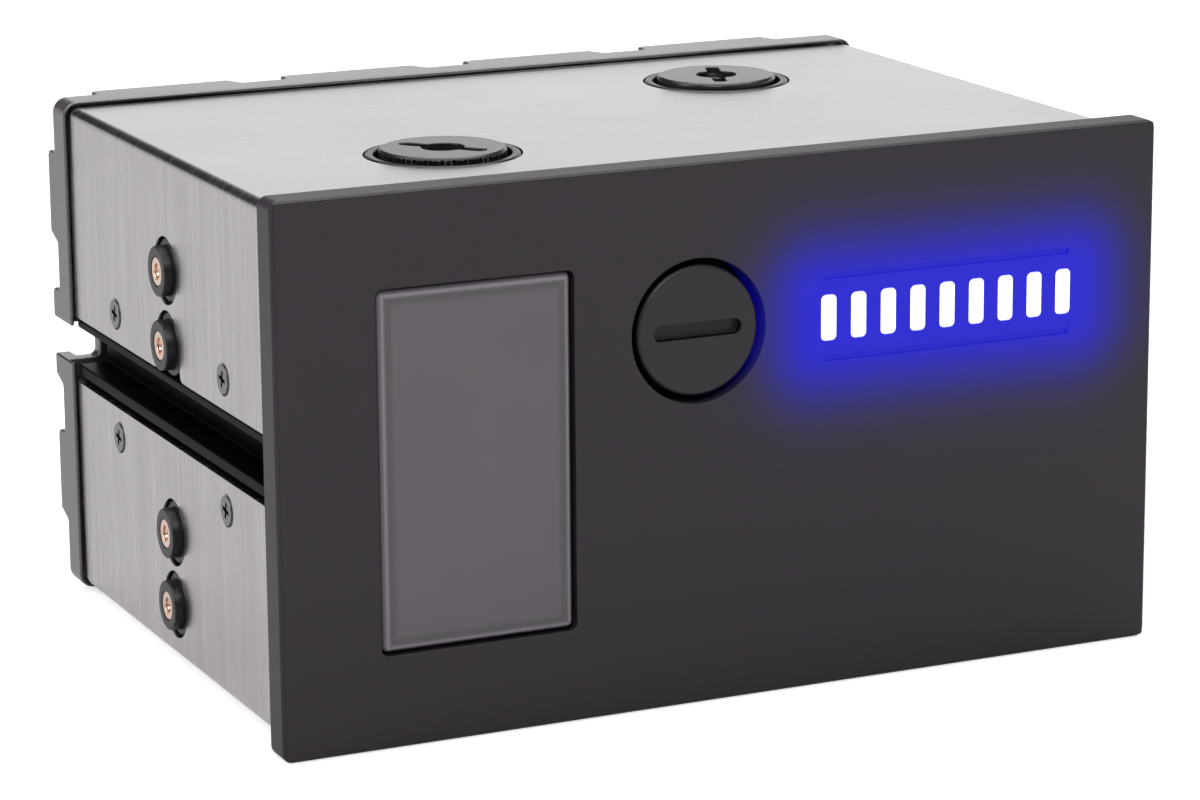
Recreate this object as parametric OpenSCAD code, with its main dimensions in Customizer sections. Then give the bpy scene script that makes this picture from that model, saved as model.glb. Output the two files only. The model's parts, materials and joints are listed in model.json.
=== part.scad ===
// Twin-bay coolant reservoir with a built-in circulation pump.
// Frame: +X right, +Y from the front face towards the back, +Z up, millimetres.
// Origin: centre of the footprint, on the plane of the faceplate's lower edge.

/* [Faceplate] */
// Width of the faceplate
plate_w = 149; // [146:0.5:190]
// Height of the faceplate
plate_h = 85; // [84:0.5:110]
// Thickness of the faceplate
plate_t = 5.4; // [4.5:0.1:8]
// Corner radius of the faceplate outline
plate_r = 1.6; // [0.5:0.1:4]
// Chamfer round the faceplate's front edge
plate_chamfer = 0.5; // [0.2:0.1:1]
// Width of the two decorative grooves
groove_w = 0.8; // [0.4:0.1:1.5]
// Depth of the two decorative grooves
groove_d = 0.4; // [0.2:0.1:1]

/* [Sight window] */
// Width of the window opening
window_w = 32; // [20:0.5:40]
// Height of the window opening
window_h = 56; // [40:0.5:62]
// Distance of the window's centre left of the middle
window_x = 42.5; // [36:0.5:44]
// Thickness of the pane
pane_t = 3; // [2:0.1:3.4]
// Width of the pane's seat round the opening
pane_rim = 3; // [2:0.1:4]
// Thickness of the pane gasket
pane_gasket_t = 1; // [0.6:0.1:1.4]

/* [Lit bars] */
// Number of lit bars in the faceplate
bar_count = 9; // [5:1:12]
// Width of one lit bar
bar_w = 2.6; // [1.5:0.1:3.2]
// Height of the lit bars
bar_h = 7.2; // [4:0.1:9]
// Distance between two neighbouring bars' centres
bar_pitch = 5.2; // [4:0.1:6]

/* [Covers] */
// Width over the sheet metal covers
cover_w = 145; // [120:0.5:176]
// Height over both sheet metal covers
cover_h = 81.4; // [78:0.2:100]
// Length of the covers behind the faceplate
cover_l = 94.8; // [90:0.2:116]
// Thickness of the sheet metal
sheet_t = 1; // [0.8:0.1:1.3]
// Outer radius of the sheet's bends
bend_r = 1.6; // [1.4:0.1:3]
// Height of the open strip between the two covers
cover_split = 11; // [10:0.2:14]

/* [Side slots] */
// Height of the slot along each side
slot_h = 6.3; // [5:0.1:7]
// Depth of the slot from the covers' outer face
slot_d = 5; // [4.2:0.1:5.6]
// Height of the slot's middle above the middle of the covers
slot_rise = 0.75; // [0:0.05:1]

/* [Tank] */
// Thickness of the tank's side walls
wall_side = 8.7; // [7:0.1:11]
// Thickness of the tank's front wall
wall_front = 7.2; // [6:0.1:9]
// Thickness of the tank's rear wall, which is the length of the threads in it
wall_rear = 8; // [6:0.1:10]
// Thickness of the tank's top wall
wall_top = 7.8; // [7:0.1:10]
// Thickness of the wall between the tank and the pump bay
wall_bay = 4; // [3:0.1:5]
// Depth of the front chamber, front to back
chamber_d = 31.4; // [28:0.2:38]
// Thickness of the tank's bottom plate
base_t = 4; // [3:0.1:5]

/* [Ports] */
// Radius of the tapped hole of a quarter-inch port
port_r = 5.72; // [5:0.01:6.9]
// Radius of a port plug's head
plug_head_r = 10; // [8:0.1:11]
// Height of a port plug's head
plug_head_h = 3.2; // [2.5:0.1:4]
// Width of the black ring round a top plug
ring_w = 1.4; // [1:0.1:3]
// Radius of the front fill plug's head
fill_head_r = 10.15; // [9:0.05:10.4]
// Width of the gap round the front fill plug
fill_gap = 1.15; // [0.8:0.05:1.6]
// Radius of the tapped hole behind the fill plug
fill_port_r = 7.5; // [6:0.1:8]
// Distance between the two ports in the tank's rear wall
return_pitch = 23; // [20:0.5:26]

/* [Drive-bay fixings] */
// Distance of the fixing holes behind the faceplate
bay_hole_y = 47.4; // [46:0.1:49]
// Height of the lowest fixing hole above the faceplate's lower edge
bay_hole_z = 10.6; // [10:0.1:11.4]
// Distance between the two holes of one drive bay
bay_hole_pair = 11.84; // [11.5:0.02:12.2]
// Distance from one drive bay to the next
bay_pitch = 42.3; // [41:0.1:44]
// Radius of the rubber bush
bush_r = 4; // [3.4:0.05:4.1]
// Width of the gap round a bush in the covers
bush_gap = 1.4; // [1.1:0.05:1.5]
// Distance that the bush stands out of the cover
bush_proud = 1.5; // [1:0.1:2]
// Radius of the insert's tapped hole
insert_bore_r = 1.25; // [1.2:0.05:1.4]
// Wall of the threaded insert
insert_wall = 1.05; // [0.8:0.05:1.2]

/* [Rear cover] */
// Distance that the rear cover stands out beyond the sheet covers
cap_over = 0.8; // [0.5:0.1:1.2]
// Depth of the rear cover's rim, without its lands
cap_depth = 5.8; // [5:0.1:8]
// Thickness of the rear cover's plate
cap_t = 3; // [2:0.1:3.6]
// Height of the raised lands on the rear cover
land_h = 3.4; // [2:0.1:5]
// Width of the raised lands across the rim
land_t = 2.6; // [2:0.1:3]
// Length of one land along the top and bottom
land_l = 25.8; // [20:0.2:28]
// Distance between two neighbouring lands
land_pitch = 33.6; // [30:0.2:38]

/* [Pump] */
// Radius of the pump's motor housing
pump_r = 28; // [24:0.5:29]
// Distance of the pump's axis left of the middle
pump_x = 31; // [30:0.5:32]
// Height of the pump's axis above the faceplate's lower edge
pump_z = 42.5; // [41:0.5:44]
// Radius of the impeller
impeller_r = 20; // [16:0.5:21]
// Number of impeller vanes
vane_count = 6; // [4:1:8]
// Radius of the bearing post
post_r = 2; // [1.5:0.1:3]
// Radial running clearance on the bearing post
run_gap = 0.05; // [0.02:0.01:0.1]
// Wall of the outlet pipe
outlet_wall = 2.78; // [2:0.02:3.2]

/* [Hidden] */
$fn = 64;

cut = 0.5;              // how far a cutting body runs past a face
fit = 0.2;              // clearance between fixed neighbours
bond = 0.05;            // cement line between two plates of the tank
seal_gap = 0.12;        // clearance of a seal from the faces that hold it
tap_gap = 0.05;         // radial clearance of a plug in its tapped hole
seal_r = 0.95;          // section radius of the plug seals
screw_r = 1.45;         // radius of the M3 shanks
screw_hole_r = 1.5;     // radius of the holes for M3 shanks

// covers
mid_z = plate_h / 2;
cover_x = cover_w / 2;
cover_z0 = mid_z - cover_h / 2;
cover_z1 = mid_z + cover_h / 2;
cover_y1 = plate_t + cover_l;
split_z0 = mid_z - cover_split / 2;
split_z1 = mid_z + cover_split / 2;
relief_d = 1.9;         // how far the sheets' rear edges fall back at the bends

// side slots
slot_z = mid_z + slot_rise;
slot_z0 = slot_z - slot_h / 2;
slot_z1 = slot_z + slot_h / 2;
slot_x = cover_x - slot_d;
rail_x = cover_x - 0.1;
rail_low_z = slot_z0 - 1.9;

// rear cover
cap_x = cover_x + cap_over;
cap_z0 = cover_z0 - cap_over;
cap_z1 = cover_z1 + cap_over;
cap_r = bend_r + cap_over;
cap_y0 = cover_y1 - 0.8;
cap_y1 = cap_y0 + cap_depth;
cap_in_y = cap_y1 - cap_t;
cap_gap = 0.15;         // gap between the covers and the rear cover's rim
land_round = 1.1;       // radius of a land's rounded end
land_slant = 1.4;       // run of a land's slanted end
overall_d = cap_y1 + land_h;

// tank
body_x = cover_x - sheet_t - fit;
body_z0 = cover_z0 + sheet_t + fit;
body_z1 = cover_z1 - sheet_t - fit;
body_y0 = plate_t;
body_y1 = cap_y0 - 0.8;
room_x = body_x - wall_side;
room_y0 = body_y0 + wall_front;
room_y1 = room_y0 + chamber_d;
room_z1 = body_z1 - wall_top;
baywall_y1 = room_y1 + 6;
bay_x0 = -(room_x + 1.4);
bay_x1 = -pump_x + 43;
side_room_x0 = bay_x1 + wall_bay;
side_room_y1 = body_y1 - wall_rear;
base_rim = 3;
base_screw_r = 0.8;
base_hole_r = base_screw_r + 0.1;
base_head_r = 1.45;
base_head_pocket = 1.6;
base_screw_out = 1.3;
base_gasket_t = 0.8;
seat_z = body_z0 + base_t + base_gasket_t;

// ports
head_seat = 2 * (seal_r + seal_gap);
plug_top_z = cover_z1 + 1;
plug_under_z = plug_top_z - plug_head_h;
plug_seat_z = plug_under_z - head_seat;
port_in_z = room_z1 - 0.2;
well_r = plug_head_r + 0.8;
ring_r = well_r + ring_w;
fill_hole_r = fill_head_r + fill_gap;
plug_hole_r = 3.35;
left_port = [-33.4, room_y0 + 20.9];
right_port = [(side_room_x0 + room_x) / 2 - 5.2, baywall_y1 + 24.6];
fill_x = -5.8;
fill_z = mid_z + 16.5;
fill_front_y = 0.4;
fill_under_y = plate_t - head_seat;
return_z = mid_z + 16;
drain_z = mid_z - 20;
return_x = (side_room_x0 + room_x) / 2;
plug_shank_in = 1;

// screws and bushes
cover_screw_dz = 10.3;
cover_screw_y = [plate_t + 22.1, plate_t + 72.7];
bush_y = plate_t + bay_hole_y;
bush_zs = [for (bay = [0, 1], hole = [0, 1]) bay_hole_z + bay * bay_pitch + hole * bay_hole_pair];
bush_in_x = body_x - 4.9;
bush_pocket_r = bush_r + 0.7;
bush_hole_r = bush_r + bush_gap;
bush_ring_r = bush_hole_r - 0.3;
insert_r = insert_bore_r + insert_wall;
plate_screw_x = body_x - 3.1;
plate_screw_zs = [body_z0 + 9, body_z1 - 9];
plate_lug_y = body_y0 + 4.6;
cap_screw_x = body_x - 4.3;
cap_screws = [
    [-cap_screw_x, body_z0 + 8], [cap_screw_x, body_z0 + 8],
    [-cap_screw_x, body_z1 - 8], [cap_screw_x, body_z1 - 8],
    [-pump_x, body_z1 - wall_top / 2], [side_room_x0, body_z1 - wall_top / 2]
];

// pump, from front to back
top_y0 = baywall_y1;
eye_y = top_y0 + 3;
well_y = top_y0 + 10;
top_y1 = top_y0 + 13;
volute_r = impeller_r + 2;
flange_r = pump_r - 1;
can_front_y = well_y + 1.9;
bowl_r = 17.5;
bowl_t = 0.6;
bowl_y1 = top_y1 + 14;
housing_y1 = body_y1 - 4;
end_y1 = cap_y1 + 1;
top_x0 = bay_x0 + fit;
top_x1 = bay_x1 - 4;
top_z0 = pump_z - 32.5;
top_z1 = room_z1 - 0.4;
outlet_pipe_r = port_r + outlet_wall;
outlet = [bay_x1 - 10, top_z1 - outlet_pipe_r - 0.4];
passage_r = 4;
passage_z = pump_z + volute_r - passage_r;
lug_angles = [135, 225, 315];
lug_reach = 35;
dial_z = pump_z + 12;
grommet = [bay_x1 - 8, pump_z - 27];
port_view = [side_room_x0 + 1, room_x - 1.5, drain_z - 11, return_z + 13];

// lit bars
bars_x = 37.25;
bars_z = mid_z + 16.3;
guide_w = (bar_count - 1) * bar_pitch + bar_w + 4;
guide_h = bar_h + 4;
guide_t = 1.5;
board_t = 1.6;
groove_dz = 6.45;

// Base screws stand in the walls beside the bottom plate's rim.
base_front_y = room_y0 - base_screw_out;
base_mid_y = room_y1 + base_screw_out;
base_rear_y = side_room_y1 + base_screw_out;
base_screw_at = [
    [-room_x * 0.5, base_front_y], [room_x * 0.1, base_front_y], [room_x * 0.9, base_front_y],
    [-room_x * 0.8, base_mid_y], [-room_x * 0.05, base_mid_y],
    [return_x - 16, base_rear_y], [return_x + 16, base_rear_y]
];

// ---------- shared shapes ----------

// Shifts a piece from "measured from the front face" to the part's origin.
module placed() {
    translate([0, -overall_d / 2, 0]) children();
}

module block(x0, x1, y0, y1, z0, z1) {
    translate([x0, y0, z0]) cube([x1 - x0, y1 - y0, z1 - z0]);
}

// A round bar along Y, X or Z.
module rod_y(x, z, y0, y1, r) {
    translate([x, y0, z]) rotate([-90, 0, 0]) cylinder(h = y1 - y0, r = r);
}

module rod_x(y, z, x0, x1, r) {
    translate([x0, y, z]) rotate([0, 90, 0]) cylinder(h = x1 - x0, r = r);
}

module rod_z(x, y, z0, z1, r) {
    translate([x, y, z0]) cylinder(h = z1 - z0, r = r);
}

// A cone along Y from radius ra at y0 to rb at y1.
module cone_y(x, z, y0, y1, ra, rb) {
    translate([x, y0, z]) rotate([-90, 0, 0]) cylinder(h = y1 - y0, r1 = ra, r2 = rb);
}

// A flat rectangle with round corners, centred.
module round_rect(w, h, r) {
    square([w - 2 * r, h], center = true);
    square([w, h - 2 * r], center = true);
    for (sx = [-1, 1], sy = [-1, 1])
        translate([sx * (w / 2 - r), sy * (h / 2 - r)]) circle(r = r);
}

// Extrudes a flat X-Z outline from y0 to y1.
module along_y(y0, y1) {
    translate([0, y1, 0]) rotate([90, 0, 0]) linear_extrude(height = y1 - y0) children();
}

// A plate with round corners in X-Z.
module plate_y(x, z, w, h, r, y0, y1) {
    along_y(y0, y1) translate([x, z]) round_rect(w, h, r);
}

// An O-ring about Z at the origin, or about Y at a place.
module o_ring(mid_r, section_r) {
    rotate_extrude($fn = 72) translate([mid_r, 0]) circle(r = section_r, $fn = 24);
}

module o_ring_y(x, z, y, mid_r, section_r) {
    translate([x, y, z]) rotate([90, 0, 0]) o_ring(mid_r, section_r);
}

// A cross recess cut into a screw head whose face is at the origin, +Z outwards.
module cross_recess(size, depth) {
    for (a = [0, 90])
        rotate([0, 0, a]) translate([-size / 2, -size / 8, -depth])
            cube([size, size / 4, depth + cut]);
}

// A pan-head screw: its head sits on z = 0 and its shank runs down.
module pan_screw(head_r, head_h, shank_r, length) {
    difference() {
        union() {
            cylinder(h = head_h * 0.6, r = head_r);
            translate([0, 0, head_h * 0.6])
                cylinder(h = head_h * 0.4, r1 = head_r, r2 = head_r * 0.72);
        }
        translate([0, 0, head_h]) cross_recess(head_r * 1.1, head_h * 0.55);
    }
    translate([0, 0, -length]) cylinder(h = length, r = shank_r);
}

// Repeats a piece at both sides; the children are drawn for the +X side.
module both_sides() {
    children();
    mirror([1, 0, 0]) children();
}

// ---------- front ----------

module bar_row(w, h, y0, y1) {
    first = bars_x - (bar_count - 1) * bar_pitch / 2;
    for (i = [0 : bar_count - 1])
        plate_y(first + i * bar_pitch, bars_z, w, h, w * 0.3, y0, y1);
}

module plate_blank() {
    c = plate_chamfer;
    x = plate_w / 2;
    intersection() {
        plate_y(0, mid_z, plate_w, plate_h, plate_r, 0, plate_t);
        translate([0, 0, -cut]) linear_extrude(height = plate_h + 2 * cut)
            polygon([[-x + c, 0], [x - c, 0], [x, c], [x, plate_t], [-x, plate_t], [-x, c]]);
        rotate([90, 0, 90]) translate([0, 0, -x]) linear_extrude(height = plate_w)
            polygon([[0, c], [c, 0], [plate_t, 0], [plate_t, plate_h], [c, plate_h],
                     [0, plate_h - c]]);
    }
}

module faceplate() {
    color([0.23, 0.22, 0.24]) placed() difference() {
        plate_blank();
        plate_y(-window_x, mid_z, window_w, window_h, 1.2, -cut, plate_t + cut);
        rod_y(fill_x, fill_z, -cut, plate_t + cut, fill_hole_r);
        bar_row(bar_w + 2 * tap_gap, bar_h + 2 * tap_gap, -cut, plate_t);
        plate_y(bars_x, bars_z, guide_w + fit, guide_h + fit, 1, plate_t - guide_t - 0.1,
                plate_t + cut);
        for (s = [-1, 1])
            block(bars_x - 21.6, bars_x + 21.6, -cut, groove_d,
                  bars_z + s * groove_dz - groove_w / 2, bars_z + s * groove_dz + groove_w / 2);
        for (z = plate_screw_zs, s = [-1, 1])
            rod_y(s * plate_screw_x, z, plate_t - 3.6, plate_t + cut, screw_hole_r);
    }
}

module sight_window() {
    color([0.4, 0.38, 0.4, 0.8]) placed()
        plate_y(-window_x, mid_z, window_w + 2 * pane_rim, window_h + 2 * pane_rim, 2,
                body_y0, body_y0 + pane_t);
}

module window_gasket() {
    y0 = body_y0 + pane_t;
    color([0.1, 0.1, 0.1]) placed() difference() {
        plate_y(-window_x, mid_z, window_w + 2 * pane_rim, window_h + 2 * pane_rim, 2,
                y0, y0 + pane_gasket_t);
        plate_y(-window_x, mid_z, window_w, window_h, 1.2, y0 - cut, y0 + pane_gasket_t + cut);
    }
}

module light_guide() {
    color([0.75, 0.8, 1]) placed() {
        plate_y(bars_x, bars_z, guide_w, guide_h, 1, plate_t - guide_t, plate_t);
        bar_row(bar_w, bar_h, 0.15, plate_t - guide_t + 0.1);
    }
}

module led_board() {
    first = bars_x - (bar_count - 1) * bar_pitch / 2;
    color([0.1, 0.3, 0.2]) placed() {
        plate_y(bars_x, bars_z, guide_w - 2, guide_h - 2, 0.6,
                body_y0 + 1, body_y0 + 1 + board_t);
        for (i = [0 : 2 : bar_count - 1])
            block(first + i * bar_pitch - 1.2, first + i * bar_pitch + 1.2,
                  body_y0 + 0.2, body_y0 + 1, bars_z - 1.2, bars_z + 1.2);
    }
}

module faceplate_screws() {
    color([0.75, 0.75, 0.77]) placed()
        for (z = plate_screw_zs, s = [-1, 1])
            translate([s * plate_screw_x, plate_lug_y, z]) rotate([-90, 0, 0])
                pan_screw(2.6, 2, screw_r, plate_lug_y - plate_t + 3.2);
}

// ---------- plugs and seals ----------

// A port plug about Z: head face at z = 0, shank running down to z = -reach.
module port_plug(head_r, head_h, shank_r, reach) {
    translate([0, 0, -head_h + 0.5]) cylinder(h = head_h - 0.9, r = head_r);
    translate([0, 0, -0.4]) cylinder(h = 0.4, r1 = head_r, r2 = head_r - 0.4);
    translate([0, 0, -head_h]) cylinder(h = 0.5, r1 = head_r - 0.5, r2 = head_r);
    translate([0, 0, -reach + 0.8]) cylinder(h = reach - 0.8 - head_h, r = shank_r);
    translate([0, 0, -reach]) cylinder(h = 0.8, r1 = shank_r - 0.8, r2 = shank_r);
}

module coin_slot(length, width, depth) {
    translate([-length / 2 + width / 2, -width / 2, -depth])
        cube([length - width, width, depth + cut]);
    for (s = [-1, 1])
        translate([s * (length - width) / 2, 0, -depth])
            cylinder(h = depth + cut, r = width / 2, $fn = 24);
}

module fill_plug() {
    reach = plate_t + wall_front + plug_shank_in - fill_front_y;
    color([0.25, 0.24, 0.26]) placed()
        translate([fill_x, fill_front_y, fill_z]) rotate([90, 0, 0]) difference() {
            port_plug(fill_head_r, fill_under_y - fill_front_y, fill_port_r - tap_gap, reach);
            coin_slot(14.8, 2.4, 1.5);
        }
}

module fill_plug_seal() {
    color([0.08, 0.08, 0.08]) placed()
        o_ring_y(fill_x, fill_z, (fill_under_y + body_y0) / 2,
                 fill_port_r + seal_r + 0.1, seal_r);
}

module top_plug_body() {
    port_plug(plug_head_r, plug_head_h, port_r - tap_gap, plug_top_z - port_in_z);
}

// A top plug has a coin slot across a deeper round hole.
module top_plug_recess(angle) {
    rotate([0, 0, angle]) coin_slot(15, 2.2, 1.2);
    translate([0, 0, -2.6]) cylinder(h = 3.1, r = plug_hole_r);
}

module left_port_plug() {
    grooves = 70;
    color([0.3, 0.29, 0.31]) placed()
        translate([left_port[0], left_port[1], plug_top_z]) difference() {
            top_plug_body();
            top_plug_recess(-50);
            for (i = [0 : grooves - 1])
                rotate([0, 0, i * 360 / grooves])
                    translate([plug_head_r + 0.05, 0, -plug_head_h - cut])
                        cylinder(h = plug_head_h - 0.5 + cut, r = 0.3, $fn = 16);
        }
}

module right_port_plug() {
    color([0.3, 0.29, 0.31]) placed()
        translate([right_port[0], right_port[1], plug_top_z]) difference() {
            top_plug_body();
            top_plug_recess(70);
        }
}

module left_port_seal() {
    color([0.08, 0.08, 0.08]) top_seal(left_port);
}

module right_port_seal() {
    color([0.08, 0.08, 0.08]) top_seal(right_port);
}

module top_seal(port) {
    placed() translate([port[0], port[1], (plug_under_z + plug_seat_z) / 2])
        o_ring(port_r + seal_r + 0.1, seal_r);
}

module port_rings() {
    color([0.28, 0.27, 0.29]) placed()
        for (port = [left_port, right_port])
            translate([port[0], port[1], body_z1]) difference() {
                union() {
                    cylinder(h = sheet_t, r = ring_r);
                    translate([0, 0, sheet_t]) cylinder(h = 0.3, r1 = ring_r, r2 = ring_r - 0.3);
                }
                translate([0, 0, -cut]) cylinder(h = sheet_t + 2 * cut + 1, r = well_r);
            }
}

// ---------- tank ----------

module side_slot_cut() {
    both_sides() block(slot_x, cover_x + 5, body_y0 - cut, body_y1 + cut, slot_z0, slot_z1);
}

module chamber_plan(grow) {
    translate([-room_x - grow, room_y0 - grow])
        square([2 * (room_x + grow), chamber_d + 2 * grow]);
    translate([side_room_x0 - grow, room_y0 - grow])
        square([room_x - side_room_x0 + 2 * grow, side_room_y1 - room_y0 + 2 * grow]);
}

// The bottom plate's rim sits in a shallow step all round the chamber.
module rim_cut() {
    translate([0, 0, body_z0 - cut]) linear_extrude(height = seat_z - body_z0 + cut)
        chamber_plan(base_rim + fit);
    for (p = base_screw_at) rod_z(p[0], p[1], seat_z - cut, seat_z + 4, base_hole_r);
}

module bush_pockets() {
    both_sides() for (z = bush_zs) rod_x(bush_y, z, bush_in_x, body_x + cut, bush_pocket_r);
}

module bulkhead_cut() {
    rod_y(-pump_x, pump_z, room_y1 - cut, baywall_y1 + cut, 7);
    for (a = lug_angles)
        rod_y(-pump_x + lug_reach * cos(a), pump_z + lug_reach * sin(a), baywall_y1 - 4.8,
              baywall_y1 + cut, screw_hole_r);
}

module front_wall_cut() {
    plate_y(-window_x, mid_z, window_w + 2 * pane_rim + fit, window_h + 2 * pane_rim + fit, 2,
            body_y0 - cut, body_y0 + pane_t + pane_gasket_t);
    plate_y(-window_x, mid_z, window_w - 2, window_h - 2, 1.2, body_y0, room_y0 + cut);
    rod_y(fill_x, fill_z, body_y0 - cut, room_y0 + cut, fill_port_r);
    plate_y(bars_x, bars_z, guide_w, guide_h, 1, body_y0 - cut, body_y0 + 1 + board_t + 0.3);
}

module top_port_cut(port) {
    rod_z(port[0], port[1], plug_seat_z, body_z1 + cut, well_r);
    rod_z(port[0], port[1], room_z1 - cut, plug_seat_z + cut, port_r);
}

module rear_port_cut() {
    for (s = [-1, 1])
        rod_y(return_x + s * return_pitch / 2, return_z, side_room_y1 - cut, body_y1 + cut, port_r);
    rod_y(return_x, drain_z, side_room_y1 - cut, body_y1 + cut, port_r);
}

module plate_screw_cut() {
    both_sides() for (z = plate_screw_zs) {
        rod_y(plate_screw_x, z, body_y0 - cut, plate_lug_y + cut, screw_hole_r);
        block(plate_screw_x - 3.2, body_x + cut, plate_lug_y, plate_lug_y + 9, z - 3.6, z + 3.6);
    }
}

// The tank is built from seven plates, cemented edge to edge.
module tank_front() {
    color([0.2, 0.19, 0.2]) placed() difference() {
        block(bond - room_x, room_x - bond, body_y0, room_y0, body_z0, body_z1);
        front_wall_cut();
        rim_cut();
    }
}

module tank_roof() {
    color([0.22, 0.21, 0.22]) placed() difference() {
        block(bond - room_x, room_x - bond, room_y0 + bond, body_y1, room_z1, body_z1);
        top_port_cut(left_port);
        top_port_cut(right_port);
        cap_screw_cut();
    }
}

// A side plate carries the slot and its two ledges, the bushes and most of the screws.
module side_plate() {
    difference() {
        union() {
            block(room_x, body_x, body_y0, body_y1, body_z0, body_z1);
            block(body_x - 1, rail_x, body_y0, body_y1, slot_z1, split_z1 - fit);
            block(body_x - 1, rail_x, body_y0, body_y1, rail_low_z, slot_z0);
        }
        side_slot_cut();
        bush_pockets();
        plate_screw_cut();
        cap_screw_cut();
        rim_cut();
        for (y = cover_screw_y, s = [-1, 1])
            rod_x(y, mid_z + s * cover_screw_dz, body_x - 6, body_x + cut, screw_hole_r);
    }
}

module tank_left_side() {
    color([0.2, 0.19, 0.2]) placed() difference() {
        mirror([1, 0, 0]) side_plate();
        block(bay_x0, bay_x1, baywall_y1, body_y1 + cut, body_z0 - cut, room_z1);
    }
}

module tank_right_side() {
    color([0.2, 0.19, 0.2]) placed() side_plate();
}

module tank_bulkhead() {
    color([0.24, 0.23, 0.24]) placed() difference() {
        block(bond - room_x, side_room_x0, room_y1, baywall_y1, body_z0, room_z1 - bond);
        bulkhead_cut();
        rim_cut();
    }
}

module tank_bay_wall() {
    color([0.26, 0.25, 0.26]) placed() difference() {
        block(bay_x1, side_room_x0, baywall_y1 + bond, body_y1, body_z0, room_z1 - bond);
        rim_cut();
    }
}

module tank_rear_wall() {
    color([0.22, 0.21, 0.22]) placed() difference() {
        block(side_room_x0 + bond, room_x - bond, side_room_y1, body_y1, body_z0,
              room_z1 - bond);
        rear_port_cut();
        rim_cut();
    }
}

module cap_screw_cut() {
    for (p = cap_screws) rod_y(p[0], p[1], body_y1 - 7.5, body_y1 + cut, screw_hole_r);
}

module base_holes(z0, z1) {
    for (p = base_screw_at) rod_z(p[0], p[1], z0 - cut, z1 + cut, base_hole_r);
}

module tank_base() {
    color([0.22, 0.21, 0.22]) placed() difference() {
        translate([0, 0, body_z0]) linear_extrude(height = base_t) chamber_plan(base_rim);
        base_holes(body_z0, body_z0 + base_t);
        for (p = base_screw_at)
            rod_z(p[0], p[1], body_z0 - cut, body_z0 + base_head_pocket, base_head_r + 0.1);
    }
}

module base_gasket() {
    z0 = body_z0 + base_t;
    color([0.1, 0.1, 0.1]) placed() difference() {
        translate([0, 0, z0]) linear_extrude(height = base_gasket_t) chamber_plan(base_rim);
        translate([0, 0, z0 - cut]) linear_extrude(height = base_gasket_t + 2 * cut)
            chamber_plan(0);
        base_holes(z0, z0 + base_gasket_t);
    }
}

module base_screws() {
    color([0.7, 0.7, 0.72]) placed()
        for (p = base_screw_at)
            translate([p[0], p[1], body_z0 + base_head_pocket]) rotate([180, 0, 0])
                pan_screw(base_head_r, base_head_pocket - 0.2, base_screw_r, 6.6);
}

module vortex_baffle() {
    color([0.3, 0.3, 0.3]) placed() translate([-pump_x, room_y1, pump_z]) rotate([90, 0, 0]) {
        difference() {
            cylinder(h = 3, r = 11);
            translate([0, 0, -cut]) cylinder(h = 4, r = 9);
        }
        for (a = [0, 60, 120])
            rotate([0, 0, a]) translate([-9.5, -0.75, 0]) cube([19, 1.5, 8]);
    }
}

// ---------- covers ----------

module sheet_loop() {
    translate([0, mid_z]) difference() {
        round_rect(cover_w, cover_h, bend_r);
        round_rect(cover_w - 2 * sheet_t, cover_h - 2 * sheet_t, bend_r - sheet_t + 0.01);
    }
}

// The sheets' rear edges fall back a little towards the bends.
module rear_relief(z_bend, z_mid) {
    y = cover_y1;
    band = bend_r + 0.1;
    both_sides() {
        rotate([90, 0, 90]) translate([0, 0, cover_x - band]) linear_extrude(height = band + 1)
            polygon([[y + 1, z_mid], [y, z_mid], [y - relief_d, z_bend], [y + 1, z_bend]]);
        translate([0, 0, z_bend - band]) linear_extrude(height = 2 * band)
            polygon([[cover_x + 1, y + 1], [cover_x + 1, y - relief_d], [cover_x * 0.25, y],
                     [cover_x * 0.25, y + 1]]);
    }
}

module cover_screw_holes() {
    both_sides() for (y = cover_screw_y, s = [-1, 1]) {
        rod_x(y, mid_z + s * cover_screw_dz, body_x - cut, cover_x + cut, 1.7);
        translate([cover_x - 0.7, y, mid_z + s * cover_screw_dz]) rotate([0, 90, 0])
            cylinder(h = 0.9, r1 = 1.9, r2 = 2.9);
    }
}

module bush_holes() {
    both_sides() for (z = bush_zs) rod_x(bush_y, z, body_x - cut, cover_x + cut, bush_hole_r);
}

// The bush that lies on the cover's edge gets a notch that is open downwards.
module edge_notch() {
    z = bush_zs[2];
    r = 1.2;
    both_sides() {
        block(body_x - cut, cover_x + cut, bush_y - bush_hole_r, bush_y + bush_hole_r,
              split_z1 - cut, z);
        for (s = [-1, 1]) difference() {
            y = bush_y + s * (bush_hole_r + r / 2);
            block(body_x - cut, cover_x + cut, y - r / 2 - 0.01, y + r / 2 + 0.01,
                  split_z1 - cut, split_z1 + r);
            rod_x(bush_y + s * (bush_hole_r + r), split_z1 + r, body_x - 2 * cut,
                  cover_x + 2 * cut, r);
        }
    }
}

module upper_cover() {
    color([0.8, 0.79, 0.8]) placed() difference() {
        along_y(plate_t, cover_y1) intersection() {
            sheet_loop();
            translate([-cover_w, split_z1]) square([2 * cover_w, cover_h]);
        }
        rear_relief(cover_z1, mid_z + 22);
        cover_screw_holes();
        bush_holes();
        edge_notch();
        for (port = [left_port, right_port])
            rod_z(port[0], port[1], cover_z1 - 2, cover_z1 + cut, ring_r + fit);
    }
}

module lower_cover() {
    color([0.8, 0.79, 0.8]) placed() difference() {
        along_y(plate_t, cover_y1) intersection() {
            sheet_loop();
            translate([-cover_w, split_z0 - cover_h]) square([2 * cover_w, cover_h]);
        }
        rear_relief(cover_z0, mid_z - 12);
        cover_screw_holes();
        bush_holes();
    }
}

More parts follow.
